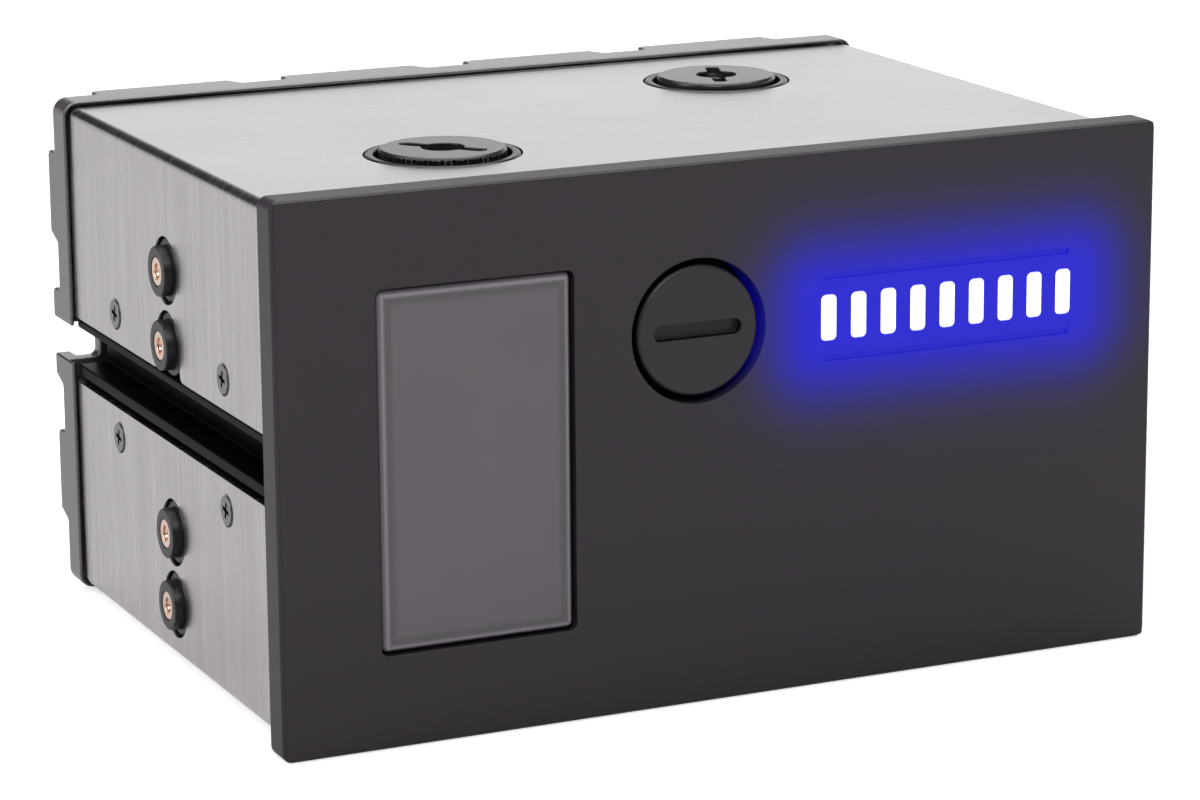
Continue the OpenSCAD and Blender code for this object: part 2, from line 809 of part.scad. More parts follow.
module cover_screws() {
    color([0.75, 0.75, 0.77]) placed()
        both_sides() for (y = cover_screw_y, s = [-1, 1])
            translate([cover_x - 0.7, y, mid_z + s * cover_screw_dz]) rotate([0, 90, 0]) {
                difference() {
                    union() {
                        cylinder(h = 0.55, r1 = 1.6, r2 = 2.2);
                        translate([0, 0, 0.55]) cylinder(h = 0.35, r = 2.3);
                    }
                    translate([0, 0, 0.9]) rotate([0, 0, 12]) cross_recess(2.6, 0.6);
                }
                translate([0, 0, -6]) cylinder(h = 6, r = screw_r);
            }
}

module drive_bushes() {
    color([0.12, 0.12, 0.12]) placed()
        both_sides() for (z = bush_zs) difference() {
            union() {
                rod_x(bush_y, z, bush_in_x, body_x, bush_pocket_r - 0.05);
                rod_x(bush_y, z, body_x, cover_x - 0.55, bush_ring_r);
                rod_x(bush_y, z, cover_x - 0.55, cover_x + bush_proud, bush_r);
            }
            rod_x(bush_y, z, bush_in_x - cut, cover_x + bush_proud + cut, insert_r);
        }
}

module thread_inserts() {
    color([0.85, 0.65, 0.3]) placed()
        both_sides() for (z = bush_zs) difference() {
            rod_x(bush_y, z, bush_in_x, cover_x + bush_proud - 0.1, insert_r);
            rod_x(bush_y, z, bush_in_x + 0.6, cover_x + bush_proud + cut, insert_bore_r);
        }
}

// ---------- rear cover ----------

module cap_shell() {
    difference() {
        plate_y(0, mid_z, 2 * cap_x, cap_z1 - cap_z0, cap_r, cap_y0, cap_y1);
        plate_y(0, mid_z, cover_w + 2 * cap_gap, cover_h + 2 * cap_gap, bend_r + cap_gap,
                cap_y0 - cut, cap_in_y);
    }
    for (p = cap_screws) rod_y(p[0], p[1], body_y1, cap_in_y + cut, 3);
}

// One land: a low wall on the rim, flush with its outer face.
// Plan of a land of that length: one end is rounded, the other slants off.
module land_plan(length) {
    polygon([[0, -cut], [0, land_h - land_round], [land_round, land_h],
             [length - land_slant, land_h], [length, 0], [length, -cut]]);
    translate([land_round, land_h - land_round]) circle(r = land_round);
}

// A land on a side rim, from its rounded upper end to its slanted lower end.
module side_land(z_top, z_low) {
    both_sides() translate([cap_x - land_t, cap_y1, z_top]) rotate([0, 90, 0])
        linear_extrude(height = land_t) land_plan(z_top - z_low);
}

module cap_lands() {
    reach = (cap_z1 - cap_z0) / 2 - 41.4;
    side_land(slot_z + 31.5 + reach, slot_z + 16.2 + reach);
    side_land(slot_z - 16.2 - reach, slot_z - 31.5 - reach);
    side_land(slot_z + 8.2, slot_z1 - 2);
    side_land(slot_z0 + 2, slot_z - 8.1);
    for (i = [-1.5 : 1 : 1.5], top = [0, 1]) {
        x = i * land_pitch * cover_w / 145 - 2.3;
        z = top ? cap_z1 - land_t : cap_z0;
        translate([x - land_l / 2, cap_y1, z]) linear_extrude(height = land_t)
            land_plan(land_l);
    }
}

module cap_notch() {
    both_sides() {
        block(slot_x + 1.2, cap_x + cut, body_y1 - cut, cap_y1 + land_h + cut, slot_z0, slot_z1);
        block(slot_x, slot_x + 1.3, body_y1 - cut, cap_y1 + land_h + cut,
              slot_z0 + 1.2, slot_z1 - 1.2);
        for (z = [slot_z0 + 1.2, slot_z1 - 1.2])
            rod_y(slot_x + 1.2, z, body_y1 - cut, cap_y1 + land_h + cut, 1.2);
    }
}

module cap_vents() {
    for (i = [0 : 4], s = [-1, 1]) {
        x = -pump_x + (i - 2) * 8;
        plate_y(x, pump_z + s * (pump_r + 5.2 - abs(i - 2) * 0.4), 5, 2.4, 1.19,
                cap_in_y - cut, cap_y1 + cut);
    }
}

module rear_cover() {
    v = port_view;
    color([0.25, 0.24, 0.25]) placed() difference() {
        union() {
            cap_shell();
            cap_lands();
        }
        cap_notch();
        cap_vents();
        rod_y(-pump_x, pump_z, body_y1 - cut, cap_y1 + cut, pump_r + 0.6);
        rod_y(outlet[0], outlet[1], body_y1 - cut, cap_y1 + cut, outlet_pipe_r + 0.5);
        rod_y(grommet[0], grommet[1], body_y1 - cut, cap_y1 + cut, 4.6);
        plate_y((v[0] + v[1]) / 2, (v[2] + v[3]) / 2, v[1] - v[0], v[3] - v[2], 3,
                body_y1 - cut, cap_y1 + cut);
        for (p = cap_screws) rod_y(p[0], p[1], body_y1 - cut, cap_y1 + cut, screw_hole_r + 0.1);
    }
}

module rear_cover_screws() {
    color([0.7, 0.7, 0.72]) placed()
        for (p = cap_screws)
            translate([p[0], cap_y1, p[1]]) rotate([-90, 0, 0])
                pan_screw(2.7, 2, screw_r, cap_y1 - body_y1 + 6.5);
}

module cable_grommet() {
    color([0.1, 0.1, 0.1]) placed() difference() {
        union() {
            rod_y(grommet[0], grommet[1], cap_in_y - 1.5, cap_in_y - 0.05, 6);
            rod_y(grommet[0], grommet[1], cap_in_y - 0.5, cap_y1 + 0.5, 4.5);
            rod_y(grommet[0], grommet[1], cap_y1 + 0.05, cap_y1 + 1.6, 6);
        }
        rod_y(grommet[0], grommet[1], cap_in_y - 2, cap_y1 + 2, 3);
    }
}

// ---------- pump ----------

module pump_axis(y) {
    translate([-pump_x, y, pump_z]) rotate([-90, 0, 0]) children();
}

module pump_lug_holes(y0, y1, r) {
    for (a = lug_angles)
        rod_y(-pump_x + lug_reach * cos(a), pump_z + lug_reach * sin(a), y0, y1, r);
}

module pump_top() {
    color([0.18, 0.18, 0.19]) placed() difference() {
        union() {
            block(top_x0, top_x1, top_y0, top_y1, top_z0, top_z1);
            rod_y(outlet[0], outlet[1], top_y0, cap_y1 + 1, outlet_pipe_r);
        }
        rod_y(-pump_x, pump_z, top_y0 - cut, eye_y + cut, 7);
        rod_y(-pump_x, pump_z, top_y0 - cut, top_y0 + 1.4, 11.2);
        rod_y(-pump_x, pump_z, eye_y, well_y + cut, volute_r);
        rod_y(-pump_x, pump_z, well_y, top_y1 + cut, pump_r + 0.2);
        rod_x(eye_y + passage_r, passage_z, -pump_x, outlet[0], passage_r);
        rod_y(outlet[0], outlet[1], eye_y + 0.5, cap_y1 - 11, 4.5);
        rod_y(outlet[0], outlet[1], cap_y1 - 12, cap_y1 + 1 + cut, port_r);
        pump_lug_holes(top_y0 - cut, top_y1 + cut, screw_hole_r);
    }
}

module pump_top_seal() {
    color([0.08, 0.08, 0.08]) placed()
        o_ring_y(-pump_x, pump_z, top_y0 + 0.72, 9.6, 0.68);
}

// A backward-curved vane, as an arc band from the eye to the rim.
module vane(h) {
    bow_r = impeller_r * 0.62;
    intersection() {
        translate([0, bow_r, 0]) difference() {
            cylinder(h = h, r = bow_r + 0.6);
            translate([0, 0, -cut]) cylinder(h = h + 2 * cut, r = bow_r - 0.6);
        }
        difference() {
            translate([0, 0, 0]) cube([impeller_r, 2 * bow_r, h]);
            translate([0, 0, -cut]) cylinder(h = h + 2 * cut, r = 6.5);
        }
        cylinder(h = h, r = impeller_r - 0.2);
    }
}

module impeller() {
    front = eye_y + 0.8;
    color([0.85, 0.86, 0.88]) placed() pump_axis(front) difference() {
        union() {
            difference() {
                cylinder(h = 1, r = impeller_r);
                translate([0, 0, -cut]) cylinder(h = 2, r = 7);
            }
            translate([0, 0, 0.9]) for (i = [0 : vane_count - 1])
                rotate([0, 0, i * 360 / vane_count]) vane(3.2);
            translate([0, 0, 4]) cylinder(h = 1.3, r = impeller_r);
            translate([0, 0, 5.2]) cylinder(h = top_y1 - front - 5.2, r = 12);
            translate([0, 0, top_y1 - front - cut]) cylinder(h = 12, r = 6);
        }
        translate([0, 0, 5]) cylinder(h = 30, r = post_r + run_gap);
    }
}

module rotor_magnet() {
    color([0.2, 0.2, 0.22]) placed() pump_axis(top_y1) difference() {
        cylinder(h = 11.6, r = 16);
        translate([0, 0, -cut]) cylinder(h = 14, r = 6 + run_gap);
    }
}

module bearing_post() {
    color([0.92, 0.92, 0.9]) placed() pump_axis(eye_y + 7.5) {
        translate([0, 0, post_r]) cylinder(h = bowl_y1 - bowl_t - eye_y - 7.5 - post_r, r = post_r);
        translate([0, 0, post_r]) sphere(r = post_r);
    }
}

module pump_can() {
    color([0.75, 0.75, 0.77]) placed() pump_axis(can_front_y) difference() {
        union() {
            cylinder(h = top_y1 - can_front_y, r = flange_r + 0.9);
            cylinder(h = bowl_y1 - can_front_y, r = bowl_r);
        }
        translate([0, 0, -cut])
            cylinder(h = bowl_y1 - can_front_y + cut - bowl_t, r = bowl_r - bowl_t);
    }
}

module pump_can_seal() {
    color([0.08, 0.08, 0.08]) placed()
        o_ring_y(-pump_x, pump_z, (well_y + can_front_y) / 2, volute_r + 2.2, 0.88);
}

module stator_core() {
    color([0.45, 0.45, 0.47]) placed() pump_axis(top_y1 + 2) {
        difference() {
            cylinder(h = 12, r = pump_r - 2);
            translate([0, 0, -cut]) cylinder(h = 13, r = pump_r - 4);
        }
        for (a = [0 : 60 : 300]) rotate([0, 0, a])
            translate([bowl_r + 0.4, -2, 2]) cube([pump_r - 3.5 - bowl_r - 0.4, 4, 8]);
    }
}

module stator_coils() {
    color([0.72, 0.42, 0.2]) placed() pump_axis(top_y1 + 2)
        for (a = [0 : 60 : 300]) rotate([0, 0, a])
            translate([bowl_r + 1.2, 0, 0.3]) difference() {
                translate([0, -4, 0]) cube([pump_r - 5.9 - bowl_r, 8, 11.4]);
                translate([-cut, -2.05, 1.65]) cube([pump_r, 4.1, 8.1]);
            }
}

module driver_board() {
    color([0.1, 0.32, 0.2]) placed() pump_axis(bowl_y1 + 3) {
        cylinder(h = 1.6, r = pump_r - 2);
        for (a = [20, 110, 200, 300]) rotate([0, 0, a])
            translate([11, -2.5, 1.5]) cube([6, 5, 1.9]);
    }
}

module pump_housing() {
    depth = housing_y1 - top_y1;
    color([0.55, 0.55, 0.57]) placed() difference() {
        union() {
            pump_axis(top_y1) cylinder(h = depth, r = pump_r);
            pump_lug_holes(top_y1, top_y1 + 3, 3.6);
            for (a = lug_angles) pump_axis(top_y1) rotate([0, 0, -a])
                translate([pump_r - 1.5, -3.1, 0]) cube([lug_reach - pump_r + 1.5, 6.2, 3]);
        }
        pump_axis(top_y1 - cut) cylinder(h = depth + 1, r = pump_r - 1.8);
        pump_lug_holes(top_y1 - cut, top_y1 + 4, screw_hole_r);
    }
}

module pump_end_cap() {
    color([0.14, 0.14, 0.15]) placed() difference() {
        union() {
            pump_axis(housing_y1 - 3) cylinder(h = 3, r = pump_r - 1.9);
            pump_axis(housing_y1) cylinder(h = end_y1 - housing_y1 - 0.8, r = pump_r);
            pump_axis(end_y1 - 0.8) cylinder(h = 0.8, r1 = pump_r, r2 = pump_r - 0.8);
        }
        for (a = [0 : 30 : 330]) pump_axis(end_y1 - 1.2) rotate([0, 0, a])
            translate([19, -0.8, 0]) cube([5.5, 1.6, 3]);
        rod_y(-pump_x, dial_z, end_y1 - 4.5, end_y1 + cut, 5.2);
        pump_axis(housing_y1 - 4) cylinder(h = 5, r = pump_r - 6);
    }
}

module speed_dial() {
    color([0.75, 0.16, 0.12]) placed() difference() {
        union() {
            rod_y(-pump_x, dial_z, end_y1 - 4.3, end_y1 - 0.6, 5.15);
            cone_y(-pump_x, dial_z, end_y1 - 0.6, end_y1, 5.15, 4.7);
        }
        translate([-pump_x, end_y1, dial_z]) rotate([-90, 0, 0]) {
            coin_slot(7.4, 1.6, 1.6);
            translate([0, 3.6, -0.8]) cylinder(h = 2, r = 0.7, $fn = 16);
        }
    }
}

module pump_screws() {
    color([0.7, 0.7, 0.72]) placed()
        for (a = lug_angles)
            translate([-pump_x + lug_reach * cos(a), top_y1 + 3, pump_z + lug_reach * sin(a)])
                rotate([-90, 0, 0]) pan_screw(2.7, 2, screw_r, top_y1 + 3 - baywall_y1 + 4.5);
}

faceplate();
sight_window();
window_gasket();
light_guide();
led_board();
fill_plug();
fill_plug_seal();
tank_front();
tank_roof();
tank_left_side();
tank_right_side();
tank_bulkhead();
tank_bay_wall();
tank_rear_wall();
tank_base();
base_gasket();
base_screws();
upper_cover();
lower_cover();
cover_screws();
drive_bushes();
thread_inserts();
port_rings();
left_port_plug();
left_port_seal();
right_port_plug();
right_port_seal();
rear_cover();
rear_cover_screws();
faceplate_screws();
vortex_baffle();
pump_top();
pump_top_seal();
impeller();
rotor_magnet();
bearing_post();
pump_can();
pump_can_seal();
stator_core();
stator_coils();
driver_board();
pump_housing();
pump_end_cap();
speed_dial();
pump_screws();
cable_grommet();
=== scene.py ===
"""Looks of a coolant pump reservoir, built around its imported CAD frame.

The frame gives every piece its place. This script rounds the edges of the pieces that
are seen, cuts the threads, dresses every piece in a procedural finish, and sets up the
studio: a pale floor, soft lamps and one camera. Lengths are in metres.
"""

from __future__ import annotations

import json
import logging
import math
from dataclasses import dataclass
from enum import Enum
from typing import Sequence

import bpy
import bmesh
import numpy as np
from mathutils import Matrix, Vector

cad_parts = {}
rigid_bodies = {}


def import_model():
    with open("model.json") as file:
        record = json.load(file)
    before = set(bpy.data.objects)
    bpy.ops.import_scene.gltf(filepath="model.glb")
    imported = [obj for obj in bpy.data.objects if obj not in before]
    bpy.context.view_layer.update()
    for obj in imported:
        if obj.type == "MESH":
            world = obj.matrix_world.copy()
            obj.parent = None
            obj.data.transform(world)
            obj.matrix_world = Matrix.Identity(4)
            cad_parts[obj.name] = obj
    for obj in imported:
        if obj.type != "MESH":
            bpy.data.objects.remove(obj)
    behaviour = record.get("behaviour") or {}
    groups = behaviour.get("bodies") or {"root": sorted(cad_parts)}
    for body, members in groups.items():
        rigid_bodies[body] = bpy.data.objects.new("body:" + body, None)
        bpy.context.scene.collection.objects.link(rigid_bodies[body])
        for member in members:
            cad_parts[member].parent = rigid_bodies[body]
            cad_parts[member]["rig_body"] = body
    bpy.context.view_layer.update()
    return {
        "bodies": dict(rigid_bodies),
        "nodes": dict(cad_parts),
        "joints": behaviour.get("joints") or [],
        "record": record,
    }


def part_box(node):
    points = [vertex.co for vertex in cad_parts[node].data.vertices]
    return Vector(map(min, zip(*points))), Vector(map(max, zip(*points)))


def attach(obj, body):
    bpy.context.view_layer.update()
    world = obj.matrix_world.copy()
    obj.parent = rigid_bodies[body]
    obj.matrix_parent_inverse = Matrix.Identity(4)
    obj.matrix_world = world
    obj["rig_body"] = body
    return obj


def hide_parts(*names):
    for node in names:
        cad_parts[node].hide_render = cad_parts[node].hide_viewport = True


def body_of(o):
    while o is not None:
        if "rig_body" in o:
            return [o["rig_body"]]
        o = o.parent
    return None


logging.basicConfig(level=logging.INFO, format="%(name)s: %(message)s")
LOG = logging.getLogger("reservoir")

MM = 0.001
BARS_WIDTH = 44.2 * MM
BARS_HEIGHT = 7.2 * MM
# Reach of the painted blue glow that the plate shows round the bars.
PAINTED_HALO_REACH = 8.5 * MM
Colour = tuple[float, float, float, float]


def shade(colour: Colour, factor: float) -> Colour:
    """The same colour, lighter or darker by a factor."""
    return tuple(min(1.0, part * factor) for part in colour[:3]) + (1.0,)


# ---------- shader graph ----------


class Signal:
    """A shader socket that Python's operators turn into Math nodes."""

    def __init__(self, graph: "Graph", socket: bpy.types.NodeSocket) -> None:
        """Wrap one output socket of a graph."""
        self.graph = graph
        self.socket = socket

    def math(self, operation: str, *others: "Signal | float") -> "Signal":
        """Apply a Math operation to this value and the others, in that order."""
        return self.graph.math(operation, self, *others)

    def __add__(self, other: "Signal | float") -> "Signal":
        """This plus the other."""
        return self.math("ADD", other)

    __radd__ = __add__

    def __sub__(self, other: "Signal | float") -> "Signal":
        """This minus the other."""
        return self.math("SUBTRACT", other)

    def __rsub__(self, other: float) -> "Signal":
        """The other minus this."""
        return self.graph.math("SUBTRACT", other, self)

    def __mul__(self, other: "Signal | float") -> "Signal":
        """This times the other."""
        return self.math("MULTIPLY", other)

    __rmul__ = __mul__

    def __truediv__(self, other: "Signal | float") -> "Signal":
        """This divided by the other."""
        return self.math("DIVIDE", other)

    def __rtruediv__(self, other: float) -> "Signal":
        """The other divided by this."""
        return self.graph.math("DIVIDE", other, self)

    def __pow__(self, power: "Signal | float") -> "Signal":
        """This raised to a power."""
        return self.math("POWER", power)

    def __neg__(self) -> "Signal":
        """This with its sign turned."""
        return self.math("MULTIPLY", -1.0)

    def __abs__(self) -> "Signal":
        """The size of this without its sign."""
        return self.math("ABSOLUTE")

    def at_least(self, floor: "Signal | float") -> "Signal":
        """The larger of this and the floor."""
        return self.math("MAXIMUM", floor)

    def at_most(self, ceiling: "Signal | float") -> "Signal":
        """The smaller of this and the ceiling."""
        return self.math("MINIMUM", ceiling)

    def ramp(self, start: float, end: float, low: float = 0.0, high: float = 1.0) -> "Signal":
        """Run smoothly from low to high while this goes from start to end.

        Args:
            start: value of this at which the result is low.
            end: value of this at which the result is high.
            low: result before start.
            high: result after end.

        Returns:
            The eased value, clamped outside the two ends.
        """
        return self.graph.add(
            "ShaderNodeMapRange",
            {"interpolation_type": "SMOOTHSTEP", "clamp": True},
            {"Value": self, "From Min": start, "From Max": end, "To Min": low, "To Max": high},
        )


class Graph:
    """The node tree of one material or world, emptied and ready to be filled."""

    def __init__(self, tree: bpy.types.NodeTree) -> None:
        """Start from an empty tree."""
        tree.nodes.clear()
        self.tree = tree

    def add(
        self,
        kind: str,
        settings: dict[str, object] | None = None,
        inputs: dict[str | int, object] | None = None,
        output: str | int = 0,
    ) -> Signal:
        """Add one node.

        Args:
            kind: the node's type name.
            settings: attributes of the node, set first; "stops" fills a colour ramp.
            inputs: values or signals for its sockets, by name or number.
            output: the socket to hand back.

        Returns:
            The chosen output as a signal.
        """
        node = self.tree.nodes.new(kind)
        for key, value in (settings or {}).items():
            if key == "stops":
                self._fill_ramp(node.color_ramp, value)
            else:
                setattr(node, key, value)
        for key, value in (inputs or {}).items():
            if isinstance(value, Signal):
                self.tree.links.new(value.socket, node.inputs[key])
            else:
                node.inputs[key].default_value = value
        return Signal(self, node.outputs[output]) if len(node.outputs) else Signal(self, None)

    @staticmethod
    def _fill_ramp(ramp: bpy.types.ColorRamp, stops: Sequence[tuple[float, Colour]]) -> None:
        """Give a colour ramp its stops, from left to right."""
        while len(ramp.elements) < len(stops):
            ramp.elements.new(0.5)
        for element, (place, colour) in zip(ramp.elements, stops):
            element.position = place
            element.color = colour

    def math(self, operation: str, *values: "Signal | float") -> Signal:
        """Add a Math node on up to three values."""
        return self.add(
            "ShaderNodeMath", {"operation": operation}, dict(enumerate(values))
        )

    def vector(self, operation: str, *values: object) -> Signal:
        """Add a Vector Math node on up to three vectors."""
        return self.add(
            "ShaderNodeVectorMath", {"operation": operation}, dict(enumerate(values))
        )

    def mix(self, share: "Signal | float", first: object, second: object) -> Signal:
        """Blend two colours: first where share is 0, second where it is 1."""
        return self.add(
            "ShaderNodeMix",
            {"data_type": "RGBA", "clamp_factor": True},
            {0: share, 6: first, 7: second},
            output=2,
        )

    def place(self) -> Signal:
        """Object coordinates, which are the frame's own metres."""
        return self.add("ShaderNodeTexCoord", output="Object")

    def split(self, vector: Signal) -> tuple[Signal, Signal, Signal]:
        """The three parts of a vector."""
        node = self.add("ShaderNodeSeparateXYZ", inputs={0: vector}).socket.node
        x, y, z = (Signal(self, socket) for socket in node.outputs)
        return x, y, z

    def normal(self) -> tuple[Signal, Signal, Signal]:
        """The three parts of the surface's direction."""
        return self.split(self.add("ShaderNodeNewGeometry", output="Normal"))

    def noise(
        self,
        where: Signal,
        stretch: tuple[float, float, float],
        detail: float = 3.0,
        rough: float = 0.55,
    ) -> Signal:
        """Noise about 0.5 whose cells are 1/stretch metres along each axis.

        Args:
            where: the coordinates to read.
            stretch: cells for each metre along X, Y and Z.
            detail: octaves added to the first.
            rough: weight of each further octave.

        Returns:
            The noise value.
        """
        scaled = self.vector("MULTIPLY", where, stretch)
        return self.add(
            "ShaderNodeTexNoise",
            {"noise_dimensions": "3D"},
            {"Vector": scaled, "Scale": 1.0, "Detail": detail, "Roughness": rough},
        )

    def bump(self, height: Signal, metres: float, below: Signal | None = None) -> Signal:
        """Turn a height between 0 and 1 into a normal, one bump on top of another."""
        inputs: dict[str | int, object] = {"Height": height, "Strength": 1.0, "Distance": metres}
        if below is not None:
            inputs["Normal"] = below
        return self.add("ShaderNodeBump", inputs=inputs)


# ---------- finishes ----------


@dataclass(frozen=True)
class Finish:
    """A finish that can be put on a piece. Subclasses paint the graph."""

    name: str
    colour: Colour = (0.5, 0.5, 0.5, 1.0)
    roughness: float = 0.4

    def material(self) -> bpy.types.Material:
        """Make the material, or hand back the one that is already made."""
        title = f"{self.name}_finish"
        found = bpy.data.materials.get(title)
        if found is not None:
            return found
        made = bpy.data.materials.new(title)
        made.use_nodes = True
        made.diffuse_color = self.colour
        graph = Graph(made.node_tree)
        surface = self.paint(graph)
        graph.add("ShaderNodeOutputMaterial", inputs={"Surface": surface})
        return made

    def paint(self, graph: Graph) -> Signal:
        """Fill the graph and hand back its surface shader."""
        raise NotImplementedError

    @staticmethod
    def principled(graph: Graph, **inputs: object) -> Signal:
        """Add the surface shader with sockets named in words joined by underscores."""
        named = {key.replace("_", " "): value for key, value in inputs.items()}
        return graph.add("ShaderNodeBsdfPrincipled", inputs=named)


@dataclass(frozen=True)
class BrushedSheet(Finish):
    """Brushed metal sheet whose grain runs over the top and on down the sides."""

    def paint(self, graph: Graph) -> Signal:
        """Fine streaks across Y, longer bands under them, and faint handling marks."""
        where = graph.place()
        fine = graph.noise(where, (42, 1500, 42), 3.0, 0.6)
        broad = graph.noise(where, (16, 340, 16), 2.0, 0.5)
        marks = graph.noise(where, (22, 22, 22), 2.0, 0.5)
        streak = fine * 0.55 + broad * 0.45
        tone = (streak - 0.5) * 2.6 + (marks - 0.5) * 0.4 + 0.5
        dark = shade(self.colour, 0.9)
        light = shade(self.colour, 1.1)
        colour = graph.mix(tone.ramp(0.1, 0.9), dark, light)
        rough = (streak - 0.5) * 0.24 + (marks - 0.5) * 0.1 + self.roughness
        return self.principled(
            graph,
            Base_Color=colour,
            Metallic=1.0,
            Roughness=rough,
            Normal=graph.bump(streak, 0.00001),
        )


@dataclass(frozen=True)
class AnodisedPlate(Finish):
    """Fine matte anodised metal, with a painted blue glow round the lit bars where asked for."""

    # Whether to paint the blue glow of the bars onto this plate as emission and tint.
    painted_glow: bool = False
    grain_depth: float = 0.000012
    # Node whose front face bounds the painted recess shade; empty for none.
    recess_shade_node: str = ""

    def paint(self, graph: Graph) -> Signal:
        """Fine blasted grain, slow cloudiness, and the painted glow."""
        where = graph.place()
        grain = graph.noise(where, (5200, 5200, 5200), 2.0, 0.6)
        cloud = graph.noise(where, (18, 18, 18), 3.0, 0.5)
        tone = (grain - 0.5) * 0.5 + (cloud - 0.5) * 0.25 + 0.5
        dark = shade(self.colour, 0.88)
        light = shade(self.colour, 1.14)
        colour = graph.mix(tone, dark, light)
        # Painted glow: the plate emits blue light round the bars and its colour turns blue there,
        # though the plate is no lamp.
        painted_halo = self.painted_halo(graph, where) if self.painted_glow else None
        if painted_halo is not None:
            strength = graph.split(painted_halo)[2]
            # Painted glow: the base colour turns deep blue near the bars.
            colour = graph.mix(strength * 1.3, colour, (0.004, 0.002, 0.06, 1))
        if self.recess_shade_node:
            # Painted shade: the metal turns near black in the slot and down the sides, behind the
            # front face.
            colour = graph.mix(self.depth(graph, where), colour, shade(self.colour, 0.1))
        inputs: dict[str, object] = {
            "Base_Color": colour,
            "Metallic": 0.0,
            "Roughness": (grain - 0.5) * 0.1 + (cloud - 0.5) * 0.06 + self.roughness,
            "Specular_IOR_Level": 0.45,
            "Normal": graph.bump(grain, self.grain_depth),
        }
        if painted_halo is not None:
            # Painted glow: the blue light round the bars is emitted by the plate itself.
            inputs["Emission_Color"] = painted_halo
            inputs["Emission_Strength"] = 1.0
        return self.principled(graph, **inputs)

    def depth(self, graph: Graph, where: Signal) -> Signal:
        """Painted recess shade: one in the slot and down the sides of the node, nothing on its
        front face.
        """
        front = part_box(self.recess_shade_node)[0].y
        return graph.split(where)[1].ramp(front + 0.35 * MM, front + 0.7 * MM)

    @staticmethod
    def painted_halo(graph: Graph, where: Signal) -> Signal:
        """Painted blue glow on the plate that fades with the distance from the row of bars."""
        low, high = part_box("light_guide")
        x, _, z = graph.split(where)
        across = (abs(x - (low.x + high.x) / 2) - BARS_WIDTH / 2).at_least(0.0)
        up = (abs(z - (low.z + high.z) / 2) - BARS_HEIGHT / 2).at_least(0.0)
        far = (across * across + up * up) ** 0.5
        spread = far / PAINTED_HALO_REACH
        painted_glow = graph.math("EXPONENT", spread * spread * -1.0)
        return graph.mix(painted_glow, (0, 0, 0, 1), (0.0, 0.0, 0.58, 1))


@dataclass(frozen=True)
class Moulded(Finish):
    """Satin or matt moulded plastic or rubber."""

    grain_size: float = 0.00035
    grain_depth: float = 0.00002
    coat: float = 0.0
    ior: float = 1.46

    def paint(self, graph: Graph) -> Signal:
        """Even spark-eroded grain with soft cloudiness in colour and gloss."""
        where = graph.place()
        cells = 1 / self.grain_size
        grain = graph.noise(where, (cells, cells, cells), 2.0, 0.5)
        cloud = graph.noise(where, (40, 40, 40), 3.0, 0.5)
        dark = shade(self.colour, 0.9)
        light = shade(self.colour, 1.12)
        return self.principled(
            graph,
            Base_Color=graph.mix(cloud.ramp(0.3, 0.7), dark, light),
            Roughness=(grain - 0.5) * 0.12 + (cloud - 0.5) * 0.1 + self.roughness,
            Coat_Weight=self.coat,
            IOR=self.ior,
            Normal=graph.bump(grain, self.grain_depth),
        )


@dataclass(frozen=True)
class Turned(Finish):
    """Bare or plated metal with fine tool marks all round."""

    metallic: float = 1.0
    marks: float = 0.00001

    def paint(self, graph: Graph) -> Signal:
        """Fine irregular tool marks and slow changes of gloss."""
        where = graph.place()
        fine = graph.noise(where, (2600, 2600, 2600), 3.0, 0.6)
        cloud = graph.noise(where, (120, 120, 120), 2.0, 0.5)
        dark = shade(self.colour, 0.85)
        light = shade(self.colour, 1.1)
        return self.principled(
            graph,
            Base_Color=graph.mix(cloud * 0.6 + fine * 0.4, dark, light),
            Metallic=self.metallic,
            Roughness=(fine - 0.5) * 0.15 + (cloud - 0.5) * 0.12 + self.roughness,
            Normal=graph.bump(fine, self.marks),
        )


@dataclass(frozen=True)
class SmokedPane(Finish):
    """Polished smoked plastic in front of the dark tank."""

    pane: tuple[float, float] = (31.06 * MM, 55.06 * MM)

    def rim(self, graph: Graph, where: Signal) -> Signal:
        """The way in from the pane's edge to each point of it."""
        low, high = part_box("sight_window")
        x, _, z = graph.split(where)
        across = abs(x - (low.x + high.x) / 2) * -1.0 + self.pane[0] / 2
        up = abs(z - (low.z + high.z) / 2) * -1.0 + self.pane[1] / 2
        return across.at_most(up)

    def paint(self, graph: Graph) -> Signal:
        """Uneven polish over a smoke-grey body, with a painted highlight on the crest of its step
        and a painted shade band inside it.
        """
        where = graph.place()
        inward = self.rim(graph, where)
        # Painted highlight along the crest of the step, and a painted shade band in the trough
        # inside it.
        crest = inward.ramp(0.3 * MM, 0.6 * MM) - inward.ramp(0.7 * MM, 1.1 * MM)
        painted_shade_band = inward.ramp(1.0 * MM, 1.3 * MM) - inward.ramp(1.6 * MM, 2.6 * MM)
        cloud = graph.noise(where, (60, 60, 60), 3.0, 0.5)
        ripple = graph.noise(where, (240, 240, 240), 2.0, 0.5)
        body = graph.mix(cloud, shade(self.colour, 0.92), shade(self.colour, 1.08))
        # Painted shade: the band inside the step darkens the body.
        body = graph.mix(painted_shade_band * 0.7, body, shade(self.colour, 0.6))
        # Painted highlight: the crest is lightened to twice the pane's colour.
        colour = graph.mix(crest, body, shade(self.colour, 2.1))
        return self.principled(
            graph,
            Base_Color=colour,
            Roughness=(ripple - 0.5) * 0.05 + self.roughness,
            Coat_Weight=0.6,
            Normal=graph.bump(cloud, 0.00002),
        )


